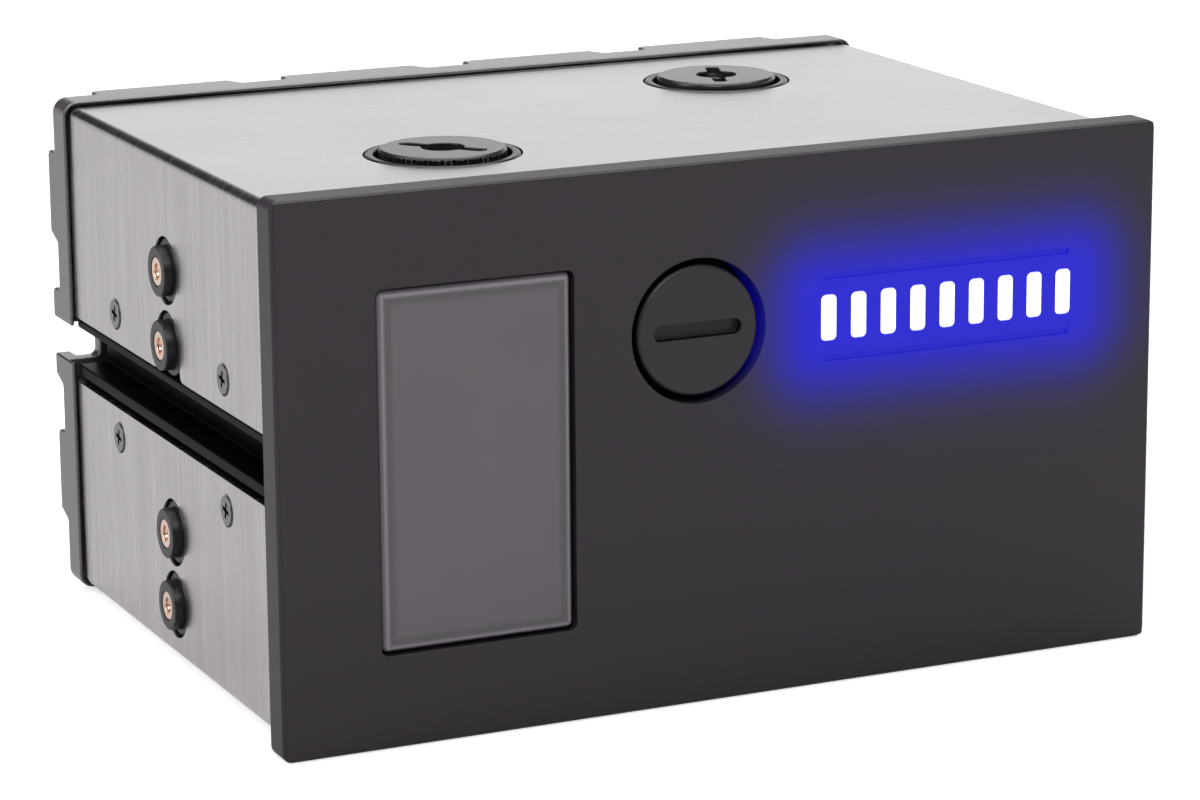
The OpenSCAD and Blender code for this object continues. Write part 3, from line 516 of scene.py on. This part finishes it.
@dataclass(frozen=True)
class LitGuide(Finish):
    """Frosted light guide, white where the lamps are and blue round them."""

    def paint(self, graph: Graph) -> Signal:
        """White-hot middle of each bar that turns blue towards its ends."""
        low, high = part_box("light_guide")
        x, _, z = graph.split(graph.place())
        up = abs(z - (low.z + high.z) / 2) / ((high.z - low.z) / 2)
        frost = graph.noise(graph.place(), (900, 900, 900), 2.0, 0.5)
        hot = up.ramp(0.45, 0.75, 1.0, 0.0) * ((frost - 0.5) * 0.2 + 1.0)
        return self.principled(
            graph,
            Base_Color=(0.6, 0.65, 0.95, 1.0),
            Roughness=self.roughness,
            Emission_Color=graph.mix(hot, (0.16, 0.12, 1.0, 1.0), (0.78, 0.8, 1.0, 1.0)),
            Emission_Strength=1.6,
        )


@dataclass(frozen=True)
class Wound(Finish):
    """Enamelled copper wire wound in even turns."""

    pitch: float = 0.0006

    def paint(self, graph: Graph) -> Signal:
        """Rows of round wire across the axis of the pump, with painted shade between the turns."""
        where = graph.place()
        _, y, _ = graph.split(where)
        row = graph.math("PINGPONG", y, self.pitch / 2) / (self.pitch / 2)
        cloud = graph.noise(where, (300, 300, 300), 2.0, 0.5)
        # Painted shade between the turns: each turn darkens to this towards its edges.
        dark = shade(self.colour, 0.35)
        return self.principled(
            graph,
            Base_Color=graph.mix(row.ramp(0.0, 0.5), dark, self.colour),
            Metallic=0.8,
            Roughness=(cloud - 0.5) * 0.1 + self.roughness,
            Normal=graph.bump(row ** 0.5, 0.0002),
        )


@dataclass(frozen=True)
class Layered(Finish):
    """Stacked steel laminations."""

    pitch: float = 0.0005

    def paint(self, graph: Graph) -> Signal:
        """A dark seam between two sheets of the stack, along the pump's axis."""
        where = graph.place()
        _, y, _ = graph.split(where)
        seam = (graph.math("PINGPONG", y, self.pitch / 2) / (self.pitch / 2)).ramp(0.0, 0.3)
        rust = graph.noise(where, (400, 400, 400), 3.0, 0.6)
        dark = shade(self.colour, 0.4)
        return self.principled(
            graph,
            Base_Color=graph.mix(seam * (rust * 0.3 + 0.7), dark, self.colour),
            Metallic=0.9,
            Roughness=self.roughness,
            Normal=graph.bump(seam, 0.0001),
        )


class Palette(Enum):
    """Every finish on the reservoir."""

    PLATE = AnodisedPlate("front_plate_anodised", (0.032, 0.0245, 0.0335, 1), 0.46, True, 0.000006)
    # The fill plug gets painted shade in its coin slot and down its sides.
    PLUG = AnodisedPlate(
        "plug_anodised", (0.029, 0.0225, 0.03, 1), 0.4, False, 0.000006, "fill_plug"
    )
    TOP_PLUG = AnodisedPlate("port_plug_anodised", (0.02, 0.0175, 0.0205, 1), 0.24, False, 0.000001)
    RING = AnodisedPlate("port_ring_anodised", (0.012, 0.0105, 0.013, 1), 0.3, False, 0.000001)
    PANE = SmokedPane("smoked_pane", (0.14, 0.122, 0.143, 1), 0.2)
    GUIDE = LitGuide("lit_guide", (0.6, 0.65, 0.95, 1), 0.3)
    BOARD = Moulded("solder_mask", (0.02, 0.12, 0.05, 1), 0.3, 0.0012, 0.00001, 0.4)
    SEAL = Moulded("seal_rubber", (0.012, 0.012, 0.013, 1), 0.62)
    SHEET = BrushedSheet("brushed_sheet", (0.53, 0.498, 0.518, 1), 0.26)
    TANK = Moulded("tank_plastic", (0.0025, 0.0022, 0.0027, 1), 0.34, 0.0005, 0.000002, 0.0, 1.1)
    CAP = Moulded(
        "rear_cover_plastic", (0.09, 0.079, 0.09, 1), 0.24, 0.0005, 0.000001, 0.0, 1.8
    )
    PUMP = Moulded("pump_plastic", (0.022, 0.022, 0.024, 1), 0.42)
    BUSH = Moulded("bush_rubber", (0.014, 0.013, 0.0145, 1), 0.36)
    SCREW = Turned("screw_plated", (0.2, 0.19, 0.2, 1), 0.24)
    INSERT = Turned("insert_brass", (0.86, 0.64, 0.52, 1), 0.18)
    HOUSING = Turned("pump_housing_metal", (0.42, 0.42, 0.44, 1), 0.45, 1.0, 0.00003)
    CAN = Turned("pump_can_steel", (0.6, 0.6, 0.62, 1), 0.25)
    CORE = Layered("core_laminations", (0.3, 0.3, 0.31, 1), 0.45)
    COIL = Wound("coil_wire", (0.62, 0.26, 0.1, 1), 0.3)
    MAGNET = Turned("rotor_magnet_coated", (0.07, 0.07, 0.08, 1), 0.4, 0.3)
    CERAMIC = Moulded("ceramic_post", (0.86, 0.84, 0.79, 1), 0.15, 0.0004, 0.000004)
    IMPELLER = Moulded("impeller_plastic", (0.72, 0.74, 0.78, 1), 0.3)
    DIAL = Moulded("dial_plastic", (0.55, 0.045, 0.03, 1), 0.32)

    def material(self) -> bpy.types.Material:
        """The Blender material of this finish."""
        return self.value.material()


# ---------- meshes ----------


def node_surface(frame: dict, node: str) -> tuple[np.ndarray, np.ndarray]:
    """Read a CAD node's loose triangles.

    Args:
        node: the node's name.

    Returns:
        Corner positions in metres, and three corner numbers for each triangle.
    """
    data = frame["nodes"][node].data
    places = np.empty(len(data.vertices) * 3)
    data.vertices.foreach_get("co", places)
    data.calc_loop_triangles()
    faces = np.empty(len(data.loop_triangles) * 3, dtype=np.int32)
    data.loop_triangles.foreach_get("vertices", faces)
    return places.reshape(-1, 3), faces.reshape(-1, 3)


def mesh_object(name: str, places: np.ndarray, faces: Sequence) -> bpy.types.Object:
    """Put points and faces into a new object that stands at the origin."""
    data = bpy.data.meshes.new(name)
    data.from_pydata(places.tolist(), [], [tuple(map(int, face)) for face in faces])
    data.update()
    made = bpy.data.objects.new(name, data)
    bpy.context.scene.collection.objects.link(made)
    return made


def outward(piece: bpy.types.Object) -> bpy.types.Object:
    """Merge a new piece's doubles and turn its faces outwards."""
    shape = bmesh.new()
    shape.from_mesh(piece.data)
    bmesh.ops.remove_doubles(shape, verts=shape.verts, dist=1e-6)
    bmesh.ops.recalc_face_normals(shape, faces=shape.faces)
    shape.to_mesh(piece.data)
    shape.free()
    return piece


def softened(
    frame: dict, node: str, name: str, width: float, segments: int = 3
) -> bpy.types.Object:
    """Weld a CAD node's triangles into whole faces and round its edges.

    Args:
        node: the CAD node to work from.
        name: the new piece's name.
        width: how far a rounded edge reaches into each face, in metres.
        segments: faces across a rounded edge.

    Returns:
        The new piece, with its rounding as live modifiers.
    """
    places, faces = node_surface(frame, node)
    made = mesh_object(name, places, faces)
    shape = bmesh.new()
    shape.from_mesh(made.data)
    bmesh.ops.remove_doubles(shape, verts=shape.verts, dist=2e-6)
    bmesh.ops.dissolve_degenerate(shape, edges=shape.edges, dist=1e-6)
    bmesh.ops.dissolve_limit(
        shape, angle_limit=math.radians(0.5), verts=shape.verts, edges=shape.edges
    )
    shape.to_mesh(made.data)
    shape.free()
    made.data.shade_smooth()
    bevel = made.modifiers.new("round_edges", "BEVEL")
    bevel.width = width
    bevel.segments = segments
    bevel.limit_method = "ANGLE"
    bevel.angle_limit = math.radians(35)
    bevel.use_clamp_overlap = False
    bevel.miter_outer = "MITER_ARC"
    level = made.modifiers.new("even_shading", "WEIGHTED_NORMAL")
    level.keep_sharp = True
    return made


def ring_faces(rings: int, around: int, closed: bool = True) -> np.ndarray:
    """Four corner numbers for each face of a grid of rings of points.

    Args:
        rings: how many rings.
        around: points in each ring.
        closed: whether each ring joins back to its first point.

    Returns:
        One row of corner numbers for each face.
    """
    ring, point = np.meshgrid(
        np.arange(rings - 1), np.arange(around if closed else around - 1), indexing="ij"
    )
    after = (point + 1) % around
    corners = (
        ring * around + point,
        ring * around + after,
        (ring + 1) * around + after,
        (ring + 1) * around + point,
    )
    return np.stack(corners, axis=-1).reshape(-1, 4)


def stepped_pane(
    name: str,
    middle: tuple[float, float],
    size: tuple[float, float],
    radius: float,
    profile: Sequence[tuple[float, float]],
    per_corner: int = 10,
) -> bpy.types.Object:
    """A plate across Y whose edge follows a profile all round.

    Each row of the profile gives a rounded rectangle drawn in by its inset, at its Y.
    A corner point lies at the corner arc's centre plus the arc radius, less the inset,
    times the cosine and sine of its angle.

    Args:
        name: the piece's name.
        middle: X and Z of the rectangle's centre.
        size: width and height at no inset.
        radius: corner radius at no inset.
        profile: inset and Y of each ring, from the front face to the back face.
        per_corner: points on each corner.

    Returns:
        The closed piece.
    """
    turn = np.linspace(0, math.pi / 2, per_corner)
    angle = np.concatenate([turn + quarter * math.pi / 2 for quarter in range(4)])
    side = np.repeat([(1, 1), (-1, 1), (-1, -1), (1, -1)], per_corner, axis=0)
    inset, depth = np.array(profile).T
    arc = np.maximum(radius - inset, 0.0)[:, None]
    half = np.array(size) / 2 - radius
    slack = np.maximum(inset - radius, 0.0)[:, None]
    x = middle[0] + side[:, 0] * (half[0] - slack) + arc * np.cos(angle)
    z = middle[1] + side[:, 1] * (half[1] - slack) + arc * np.sin(angle)
    y = np.repeat(depth[:, None], len(angle), axis=1)
    places = np.stack([x, y, z], axis=-1).reshape(-1, 3)
    around, rings = len(angle), len(profile)
    faces = [tuple(face) for face in ring_faces(rings, around)]
    faces.append(tuple(range(around)))
    faces.append(tuple(range((rings - 1) * around, rings * around)))
    return outward(mesh_object(name, places, faces))


@dataclass(frozen=True)
class Helix:
    """A screw thread: a triangular ridge carried along a helix."""

    foot: tuple[float, float, float]
    axis: tuple[float, float, float]
    root: float
    crest: float
    pitch: float
    length: float
    steps: int = 32

    def surface(self) -> tuple[np.ndarray, list[tuple[int, ...]]]:
        """Points and faces of the ridge.

        A point lies at its radius times the cosine and sine of the turned angle, and at
        a height of the angle's turns times the pitch plus its offset in the section. The
        ridge grows from nothing over its first half turn and sinks over its last.

        Returns:
            Corner positions, and corner numbers for each face.
        """
        turns = (self.length - self.pitch) / self.pitch
        angle = np.linspace(0, 2 * math.pi * turns, int(self.steps * turns) + 1)[:, None]
        grown = np.clip(np.minimum(angle, angle[-1] - angle) / math.pi, 0.02, 1.0)
        offset = np.array([-0.44, -0.06, 0.06, 0.44]) * self.pitch
        rise = np.array([0.0, 1.0, 1.0, 0.0]) * (self.crest - self.root)
        radius = self.root + rise * grown
        height = angle * self.pitch / (2 * math.pi) + offset + self.pitch / 2
        ahead = Vector(self.axis).normalized()
        across = ahead.orthogonal().normalized()
        third = ahead.cross(across)
        frame = np.array([across, third, ahead])
        local = np.stack([radius * np.cos(angle), radius * np.sin(angle), height], axis=-1)
        places = local.reshape(-1, 3) @ frame + np.array(self.foot)
        count = len(angle)
        faces = [tuple(face) for face in ring_faces(count, 4)]
        faces.append((0, 1, 2, 3))
        faces.append(tuple((count - 1) * 4 + corner for corner in range(4)))
        return places, faces


def threads(name: str, rows: Sequence[Helix]) -> bpy.types.Object:
    """One piece that holds several screw threads."""
    places: list[np.ndarray] = []
    faces: list[tuple[int, ...]] = []
    count = 0
    for row in rows:
        points, corners = row.surface()
        places.append(points)
        faces += [tuple(corner + count for corner in face) for face in corners]
        count += len(points)
    return outward(mesh_object(name, np.concatenate(places), faces))


# ---------- sub-assemblies ----------


@dataclass
class SubAssembly:
    """A group of pieces: CAD nodes in their finishes, and new pieces beside them."""

    frame: dict

    def build(self) -> int:
        """Build and dress every piece, and hand back how many there are."""
        raise NotImplementedError

    def dress(self, finish: Palette, *nodes: str, rounding: float = 0.0) -> int:
        """Give CAD nodes a finish.

        Args:
            finish: the finish they wear.
            nodes: the CAD nodes.
            rounding: reach of their rounded edges in metres; with none, the CAD
                surface itself is shown.

        Returns:
            How many nodes were dressed.
        """
        for node in nodes:
            piece = self.frame["nodes"][node]
            if rounding > 0:
                source = piece
                piece = softened(self.frame, node, f"{node}_finished", rounding)
                self.adopt(piece, body_of(source)[0], self.slot_of(node), node)
            self.finish(piece, finish)
        return len(nodes)

    def finish(self, piece: bpy.types.Object, finish: Palette) -> None:
        """Put one finish on a piece and report it."""
        piece.data.materials.clear()
        piece.data.materials.append(finish.material())
        LOG.info("%s wears %s", piece.name, finish.value.name)

    def adopt(self, piece: bpy.types.Object, body: str, slot: str, *nodes: str) -> None:
        """Tie a new piece to its body and hide the nodes it stands for."""
        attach(piece, body)
        if nodes:
            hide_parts(*nodes)

    def slot_of(self, node: str) -> str:
        """The record's material slot of a node."""
        rows = self.frame["record"]["subparts"]
        return next(row["material_slot"] for row in rows if row["node"] == node)

    def middle(self, node: str) -> Vector:
        """The centre of a node's box."""
        low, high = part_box(node)
        return (low + high) / 2


@dataclass
class FrontPanel(SubAssembly):
    """Faceplate, bevelled sight pane and lit bars."""

    plate_rounding: float = 0.12 * MM
    pane_size: tuple[float, float] = (31.4 * MM, 55.4 * MM)
    pane_radius: float = 1.1 * MM
    pane_shift: tuple[float, float] = (-0.17 * MM, 0.17 * MM)
    pane_sunk: float = 0.3 * MM
    rim_width: float = 0.9 * MM
    rim_depth: float = 0.9 * MM

    def build(self) -> int:
        """Dress the plate, its bars and what lies behind it, and add the pane."""
        count = self.dress(Palette.PLATE, "faceplate", rounding=self.plate_rounding)
        count += self.dress(Palette.GUIDE, "light_guide")
        count += self.dress(Palette.BOARD, "led_board")
        count += self.dress(Palette.SEAL, "window_gasket")
        count += self.dress(Palette.SCREW, "faceplate_screws")
        self.pane()
        return count + 1

    def pane(self) -> None:
        """A smoked pane with a rounded step round its front and a flange behind it."""
        low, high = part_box("sight_window")
        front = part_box("faceplate")[0].y + self.pane_sunk
        centre = (low + high) / 2
        flange = (high.x - low.x - self.pane_size[0]) / 2 - abs(self.pane_shift[0])
        turn = np.linspace(0, math.pi / 2, 6)
        step = np.column_stack(
            [
                self.rim_width * (1 - np.sin(turn)),
                front + self.rim_depth * (1 - np.cos(turn)),
            ]
        )
        profile = [(self.rim_width + 0.25 * MM, front), *map(tuple, step), (0.0, low.y)]
        profile += [(-flange, low.y), (-flange, high.y)]
        middle = (centre.x + self.pane_shift[0], centre.z + self.pane_shift[1])
        piece = stepped_pane(
            "sight_window_pane", middle, self.pane_size, self.pane_radius, profile
        )
        self.adopt(piece, "case", self.slot_of("sight_window"), "sight_window")
        self.finish(piece, Palette.PANE)


@dataclass
class SheetCase(SubAssembly):
    """The two brushed covers and the screws that hold them."""

    sheet_rounding: float = 0.12 * MM

    def build(self) -> int:
        """Dress both covers and their screws."""
        count = self.dress(
            Palette.SHEET, "upper_cover", "lower_cover", rounding=self.sheet_rounding
        )
        return count + self.dress(Palette.SCREW, "cover_screws")


@dataclass
class BayFixings(SubAssembly):
    """Rubber bushes in the sides with threaded brass inserts."""

    bush_rounding: float = 0.25 * MM
    insert_rounding: float = 0.15 * MM
    hole_rows: tuple[float, ...] = (10.6 * MM, 22.44 * MM, 52.9 * MM, 64.74 * MM)
    bore: float = 1.25 * MM
    ridge: float = 0.2 * MM
    pitch: float = 0.5 * MM
    depth: float = 5.0 * MM

    def build(self) -> int:
        """Dress the bushes and inserts, and cut the inserts' threads."""
        count = self.dress(Palette.BUSH, "drive_bushes", rounding=self.bush_rounding)
        count += self.dress(Palette.INSERT, "thread_inserts", rounding=self.insert_rounding)
        low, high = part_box("thread_inserts")
        y = (low.y + high.y) / 2
        rows = [
            Helix((end, y, z), (side, 0, 0), self.bore, self.bore - self.ridge, self.pitch,
                  self.depth, 24)
            for z in self.hole_rows
            for end, side in ((low.x, 1.0), (high.x, -1.0))
        ]
        piece = threads("insert_threads", rows)
        self.adopt(piece, "case", self.slot_of("thread_inserts"))
        self.finish(piece, Palette.INSERT)
        return count + 1


@dataclass
class TopPorts(SubAssembly):
    """Fill plug in the front and two port plugs in the top, with threaded shanks."""

    head_rounding: float = 0.2 * MM
    ring_rounding: float = 0.2 * MM
    pitch: float = 1.337 * MM
    ridge: float = 0.55 * MM

    def build(self) -> int:
        """Dress the plugs, rings and seals, and cut the plugs' threads."""
        count = self.dress(Palette.PLUG, "fill_plug", rounding=self.head_rounding)
        count += self.dress(
            Palette.TOP_PLUG, "left_port_plug", "right_port_plug", rounding=self.head_rounding
        )
        count += self.dress(Palette.RING, "port_rings", rounding=self.ring_rounding)
        count += self.dress(
            Palette.SEAL, "fill_plug_seal", "left_port_seal", "right_port_seal"
        )
        self.plug_thread("fill_plug", (0.0, -1.0, 0.0), 7.4 * MM, Palette.PLUG)
        self.plug_thread("left_port_plug", (0.0, 0.0, 1.0), 5.62 * MM, Palette.TOP_PLUG)
        self.plug_thread("right_port_plug", (0.0, 0.0, 1.0), 5.62 * MM, Palette.TOP_PLUG)
        return count + 3

    def plug_thread(
        self, plug: str, out: tuple[float, float, float], shank: float, finish: Palette
    ) -> None:
        """Cut the thread of one plug, from the end of its shank towards its head."""
        low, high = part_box(plug)
        centre = (low + high) / 2
        ahead = Vector(out)
        far = max(abs(ahead.dot(high - centre)), abs(ahead.dot(low - centre)))
        foot = centre - ahead * (far - 0.9 * MM)
        length = 2 * far - 6.2 * MM
        row = Helix(tuple(foot), out, shank - 0.02 * MM, shank + self.ridge, self.pitch, length)
        piece = threads(f"{plug}_thread", [row])
        self.adopt(piece, plug.replace("_port", ""), self.slot_of(plug))
        self.finish(piece, finish)


@dataclass
class Tank(SubAssembly):
    """The cemented tank, its base and its rear ports."""

    wall_rounding: float = 0.3 * MM
    port_radius: float = 5.72 * MM
    ridge: float = 0.4 * MM
    pitch: float = 1.337 * MM
    port_depth: float = 7.6 * MM
    ports: tuple[tuple[float, float], ...] = (
        (27.8 * MM, 58.5 * MM),
        (50.8 * MM, 58.5 * MM),
        (39.3 * MM, 22.5 * MM),
    )

    def build(self) -> int:
        """Dress the seven tank plates, the base and the baffle, and thread the ports."""
        count = self.dress(
            Palette.TANK,
            "tank_front",
            "tank_roof",
            "tank_left_side",
            "tank_right_side",
            "tank_rear_wall",
            rounding=self.wall_rounding,
        )
        count += self.dress(
            Palette.TANK, "tank_bulkhead", "tank_bay_wall", "tank_base", "vortex_baffle"
        )
        count += self.dress(Palette.SEAL, "base_gasket")
        count += self.dress(Palette.SCREW, "base_screws")
        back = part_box("tank_rear_wall")[1].y
        rows = [
            Helix((x, back, z), (0, -1, 0), self.port_radius, self.port_radius - self.ridge,
                  self.pitch, self.port_depth)
            for x, z in self.ports
        ]
        piece = threads("rear_port_threads", rows)
        self.adopt(piece, "case", self.slot_of("tank_rear_wall"))
        self.finish(piece, Palette.TANK)
        return count + 1


@dataclass
class RearCover(SubAssembly):
    """The stepped rear cover with its screws and grommet."""

    cover_rounding: float = 0.35 * MM
    grommet_rounding: float = 0.3 * MM

    def build(self) -> int:
        """Dress the cover, its screws and the cable grommet."""
        count = self.dress(Palette.CAP, "rear_cover", rounding=self.cover_rounding)
        count += self.dress(Palette.SCREW, "rear_cover_screws")
        return count + self.dress(Palette.SEAL, "cable_grommet", rounding=self.grommet_rounding)


@dataclass
class Pump(SubAssembly):
    """The canned motor pump in its bay."""

    cap_rounding: float = 0.3 * MM
    dial_rounding: float = 0.2 * MM
    outlet: tuple[float, float] = (2.0 * MM, 64.9 * MM)
    outlet_radius: float = 5.72 * MM
    ridge: float = 0.4 * MM
    pitch: float = 1.337 * MM
    outlet_depth: float = 12.0 * MM

    def build(self) -> int:
        """Dress the pump from its inlet to its end cap, and thread its outlet."""
        count = self.dress(Palette.PUMP, "pump_top")
        count += self.dress(Palette.PUMP, "pump_end_cap", rounding=self.cap_rounding)
        count += self.dress(Palette.DIAL, "speed_dial", rounding=self.dial_rounding)
        count += self.dress(Palette.SEAL, "pump_top_seal", "pump_can_seal")
        for finish, node in (
            (Palette.IMPELLER, "impeller"),
            (Palette.MAGNET, "rotor_magnet"),
            (Palette.CERAMIC, "bearing_post"),
            (Palette.CAN, "pump_can"),
            (Palette.CORE, "stator_core"),
            (Palette.COIL, "stator_coils"),
            (Palette.BOARD, "driver_board"),
            (Palette.HOUSING, "pump_housing"),
            (Palette.SCREW, "pump_screws"),
        ):
            count += self.dress(finish, node)
        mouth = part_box("pump_top")[1].y
        x, z = self.outlet
        row = Helix((x, mouth, z), (0, -1, 0), self.outlet_radius,
                    self.outlet_radius - self.ridge, self.pitch, self.outlet_depth)
        piece = threads("outlet_thread", [row])
        self.adopt(piece, "case", self.slot_of("pump_top"))
        self.finish(piece, Palette.PUMP)
        return count + 1


@dataclass
class Studio:
    """Floor, lamps, surroundings and camera."""

    stand: tuple[float, float, float] = (-0.28469, -0.62247, 0.20415)
    azimuth: float = 24.776
    elevation: float = 13.831
    roll: float = -0.447
    lens: float = 128.54

    def build(self) -> None:
        """Set up the whole studio."""
        self.camera()
        self.floor()
        self.surroundings()
        self.lamp("key", (-0.5, -0.9, 0.95), 0.6, 5.2)
        self.lamp("side", (-1.1, 0.1, 0.7), 0.5, 4.4)
        self.lamp("over", (0.3, 0.4, 1.1), 0.7, 5.0)
        scene = bpy.context.scene
        scene.view_settings.view_transform = "Standard"

    def camera(self) -> None:
        """A long lens that looks along the azimuth and down by the elevation."""
        az, el, roll = map(math.radians, (self.azimuth, self.elevation, self.roll))
        ahead = Vector((math.sin(az) * math.cos(el), math.cos(az) * math.cos(el), -math.sin(el)))
        right = Vector((math.cos(az), -math.sin(az), 0.0))
        up = right.cross(ahead)
        level, tilt = math.cos(roll), math.sin(roll)
        right, up = right * level + up * tilt, up * level - right * tilt
        data = bpy.data.cameras.new("camera")
        data.lens = self.lens
        data.sensor_width = 36.0
        data.clip_end = 20.0
        view = bpy.data.objects.new("camera", data)
        view.matrix_world = Matrix.Translation(self.stand) @ Matrix(
            (right, up, -ahead)
        ).transposed().to_4x4()
        bpy.context.scene.collection.objects.link(view)
        bpy.context.scene.camera = view

    def floor(self) -> None:
        """A wide pale floor that keeps the object's shadow."""
        reach = 6.0
        corners = np.array([(-1, -1), (1, -1), (1, 1), (-1, 1)]) * reach
        places = np.column_stack([corners, np.full(4, -0.0002)])
        floor = mesh_object("floor", places, [(0, 1, 2, 3)])
        made = bpy.data.materials.new("floor_paper")
        made.use_nodes = True
        graph = Graph(made.node_tree)
        rays = graph.add("ShaderNodeLightPath").socket.node
        direct = Signal(graph, rays.outputs["Is Camera Ray"])
        mirrored = Signal(graph, rays.outputs["Is Glossy Ray"])
        seen = direct * 0.62 + mirrored * 0.12
        paper = graph.add(
            "ShaderNodeBsdfDiffuse", inputs={"Color": (0.86, 0.86, 0.86, 1), "Roughness": 1.0}
        )
        lift = graph.add(
            "ShaderNodeEmission", inputs={"Color": (1, 1, 1, 1), "Strength": seen}
        )
        surface = graph.add("ShaderNodeAddShader", inputs={0: paper, 1: lift})
        graph.add("ShaderNodeOutputMaterial", inputs={"Surface": surface})
        floor.data.materials.append(made)

    def surroundings(self) -> None:
        """White along the horizon and darker overhead, as an open studio is."""
        world = bpy.data.worlds.new("studio")
        world.use_nodes = True
        bpy.context.scene.world = world
        graph = Graph(world.node_tree)
        rays = graph.add("ShaderNodeLightPath").socket.node
        direct = Signal(graph, rays.outputs["Is Camera Ray"])
        mirrored = Signal(graph, rays.outputs["Is Glossy Ray"])
        across, _, height = graph.split(graph.add("ShaderNodeTexCoord", output="Generated"))
        open_side = height.ramp(0.26, 0.37, 1.2, 0.12)
        screened = height.ramp(0.0, 0.14, 0.9, 0.03)
        walls = screened + (open_side - screened) * across.ramp(0.02, 0.3)
        overhead = walls + height.ramp(0.6, 0.85, 0.0, 2.2)
        level = mirrored * overhead + (1 - mirrored) * 0.24
        level = direct + (1 - direct) * level
        light = graph.add("ShaderNodeBackground", inputs={"Color": (1, 1, 1, 1), "Strength": level})
        graph.add("ShaderNodeOutputWorld", inputs={"Surface": light})

    @staticmethod
    def lamp(name: str, stand: tuple[float, float, float], size: float, power: float) -> None:
        """Hang one square soft lamp that points at the object."""
        data = bpy.data.lights.new(f"{name}_lamp", "AREA")
        data.shape = "SQUARE"
        data.size = size
        data.energy = power
        hung = bpy.data.objects.new(f"{name}_lamp", data)
        hung.location = stand
        aim = Vector((0.0, 0.0, 0.04)) - Vector(stand)
        hung.rotation_euler = aim.to_track_quat("-Z", "Y").to_euler()
        bpy.context.scene.collection.objects.link(hung)


def main() -> None:
    """Build the reservoir's looks in order."""
    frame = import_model()
    for group in (FrontPanel, SheetCase, BayFixings, TopPorts, Tank, RearCover, Pump):
        LOG.info("%s: %d pieces", group.__name__, group(frame).build())
    Studio().build()


if __name__ == "__main__":
    main()
